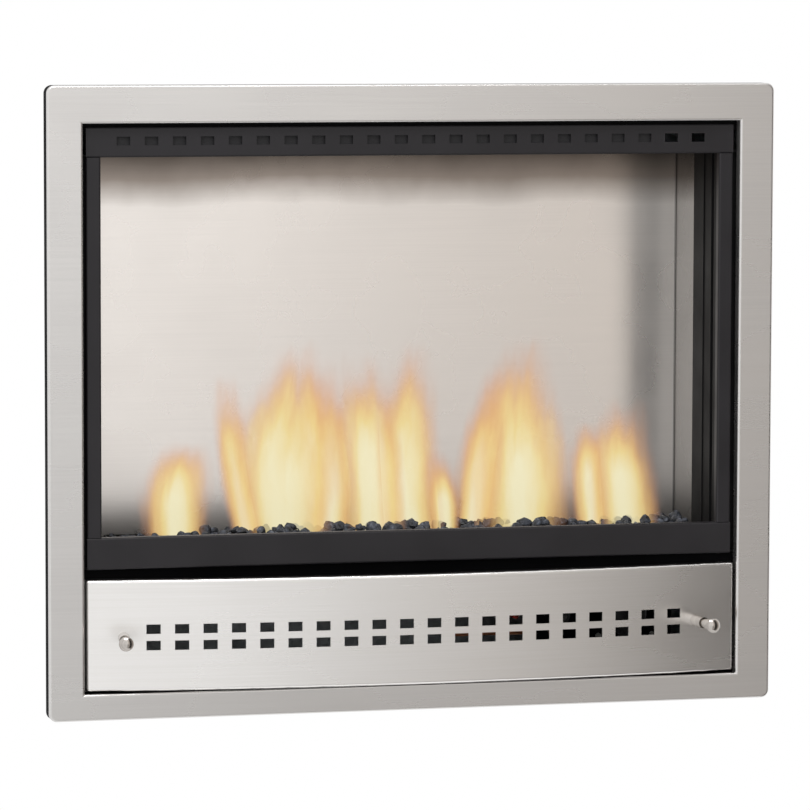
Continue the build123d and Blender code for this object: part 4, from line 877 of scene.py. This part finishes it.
def makeShadeCard():
    card = shadeCard
    bpy.ops.mesh.primitive_grid_add(
        x_subdivisions=card["steps"], y_subdivisions=1, size=1.0, location=(0, 0, 0))
    sheet = bpy.context.object
    sheet.name = "shadeCard"
    sheet.data.uv_layers[0].name = "cardUv"
    turnRange = card["toAngle"] - card["fromAngle"]
    for vertex in sheet.data.vertices:
        angle = radians(card["fromAngle"] + (vertex.co.x + 0.5) * turnRange)
        height = card["bottom"] if vertex.co.y < 0 else card["top"]
        vertex.co = Vector((card["distance"] * sin(angle), -card["distance"] * cos(angle), height))
    material, tree, shader, place = startMaterial("shadeCard")
    around = addNode(tree, "ShaderNodeUVMap", {"uv_map": "cardUv"})
    aroundParts = addNode(tree, "ShaderNodeSeparateXYZ", inputs={"Vector": around.outputs["UV"]})
    heights = addNode(tree, "ShaderNodeSeparateXYZ", inputs={"Vector": place})
    tones = []
    for column in (1, 2):
        stops = []
        for stop in card["levels"]:
            share = min(max((stop[0] - card["warmFrom"]) / (card["warmTo"] - card["warmFrom"]), 0.0), 1.0)
            tinted = [stop[column] * (1 + share * (warm - 1)) for warm in card["warmth"]]
            stops.append(((stop[0] - card["fromAngle"]) / turnRange, (*tinted, 1)))
        tones.append(rampBetween(tree, aroundParts.outputs["X"], stops))
    above, below = tones
    fade = spread(tree, heights.outputs["Z"], 0.0, 1.0, card["fadeLow"], card["fadeHigh"], "SMOOTHSTEP")
    # a Mix node has its colours in sockets 6 and 7, and gives their mix in 2
    mixed = addNode(tree, "ShaderNodeMix", {"data_type": "RGBA"}, {"Factor": fade, 6: below, 7: above})
    glow = addNode(tree, "ShaderNodeEmission", inputs={"Color": mixed.outputs[2]})
    showInstead(tree, shader, glow.outputs[0])
    sheet.data.materials.append(material)
    sheet.visible_camera = False
    sheet.visible_diffuse = False
    sheet.visible_shadow = False
    sheet.visible_transmission = False


# Only the overhead box shows in reflections: it draws the bright lines along the level bends
softBoxes = [
    {"name": "keyBox", "place": (-2.6, -3.4, 2.2), "size": (2.4, 2.4), "power": 60.0, "mirrored": False},
    {"name": "fillBox", "place": (2.8, -3.0, 1.0), "size": (2.4, 2.4), "power": 14.0, "mirrored": False},
    {"name": "backBox", "place": (0.6, 3.6, 2.0), "size": (2.6, 2.6), "power": 45.0, "mirrored": False},
    {"name": "overheadBox", "place": (-0.7, -1.9, 2.7), "size": (2.4, 0.9), "power": 55.0, "mirrored": True},
]


def makeLamps():
    for box in softBoxes:
        bpy.ops.object.light_add(type="AREA", location=box["place"])
        lamp = bpy.context.object
        lamp.name = box["name"]
        lamp.data.shape = "RECTANGLE"
        lamp.data.size, lamp.data.size_y = box["size"]
        lamp.data.energy = box["power"]
        lamp.rotation_euler = (-Vector(box["place"])).to_track_quat("-Z", "Y").to_euler()
        lamp.visible_camera = False
        lamp.visible_glossy = box["mirrored"]


addCamera()
print("camera placed")
dressParts()
makeCharcoal()
makeFlames()
makeDialMarks()
makeFloor()
makeWorld()
makeShadeCard()
makeLamps()
print("studio ready")

bpy.context.scene.view_settings.view_transform = "Standard"
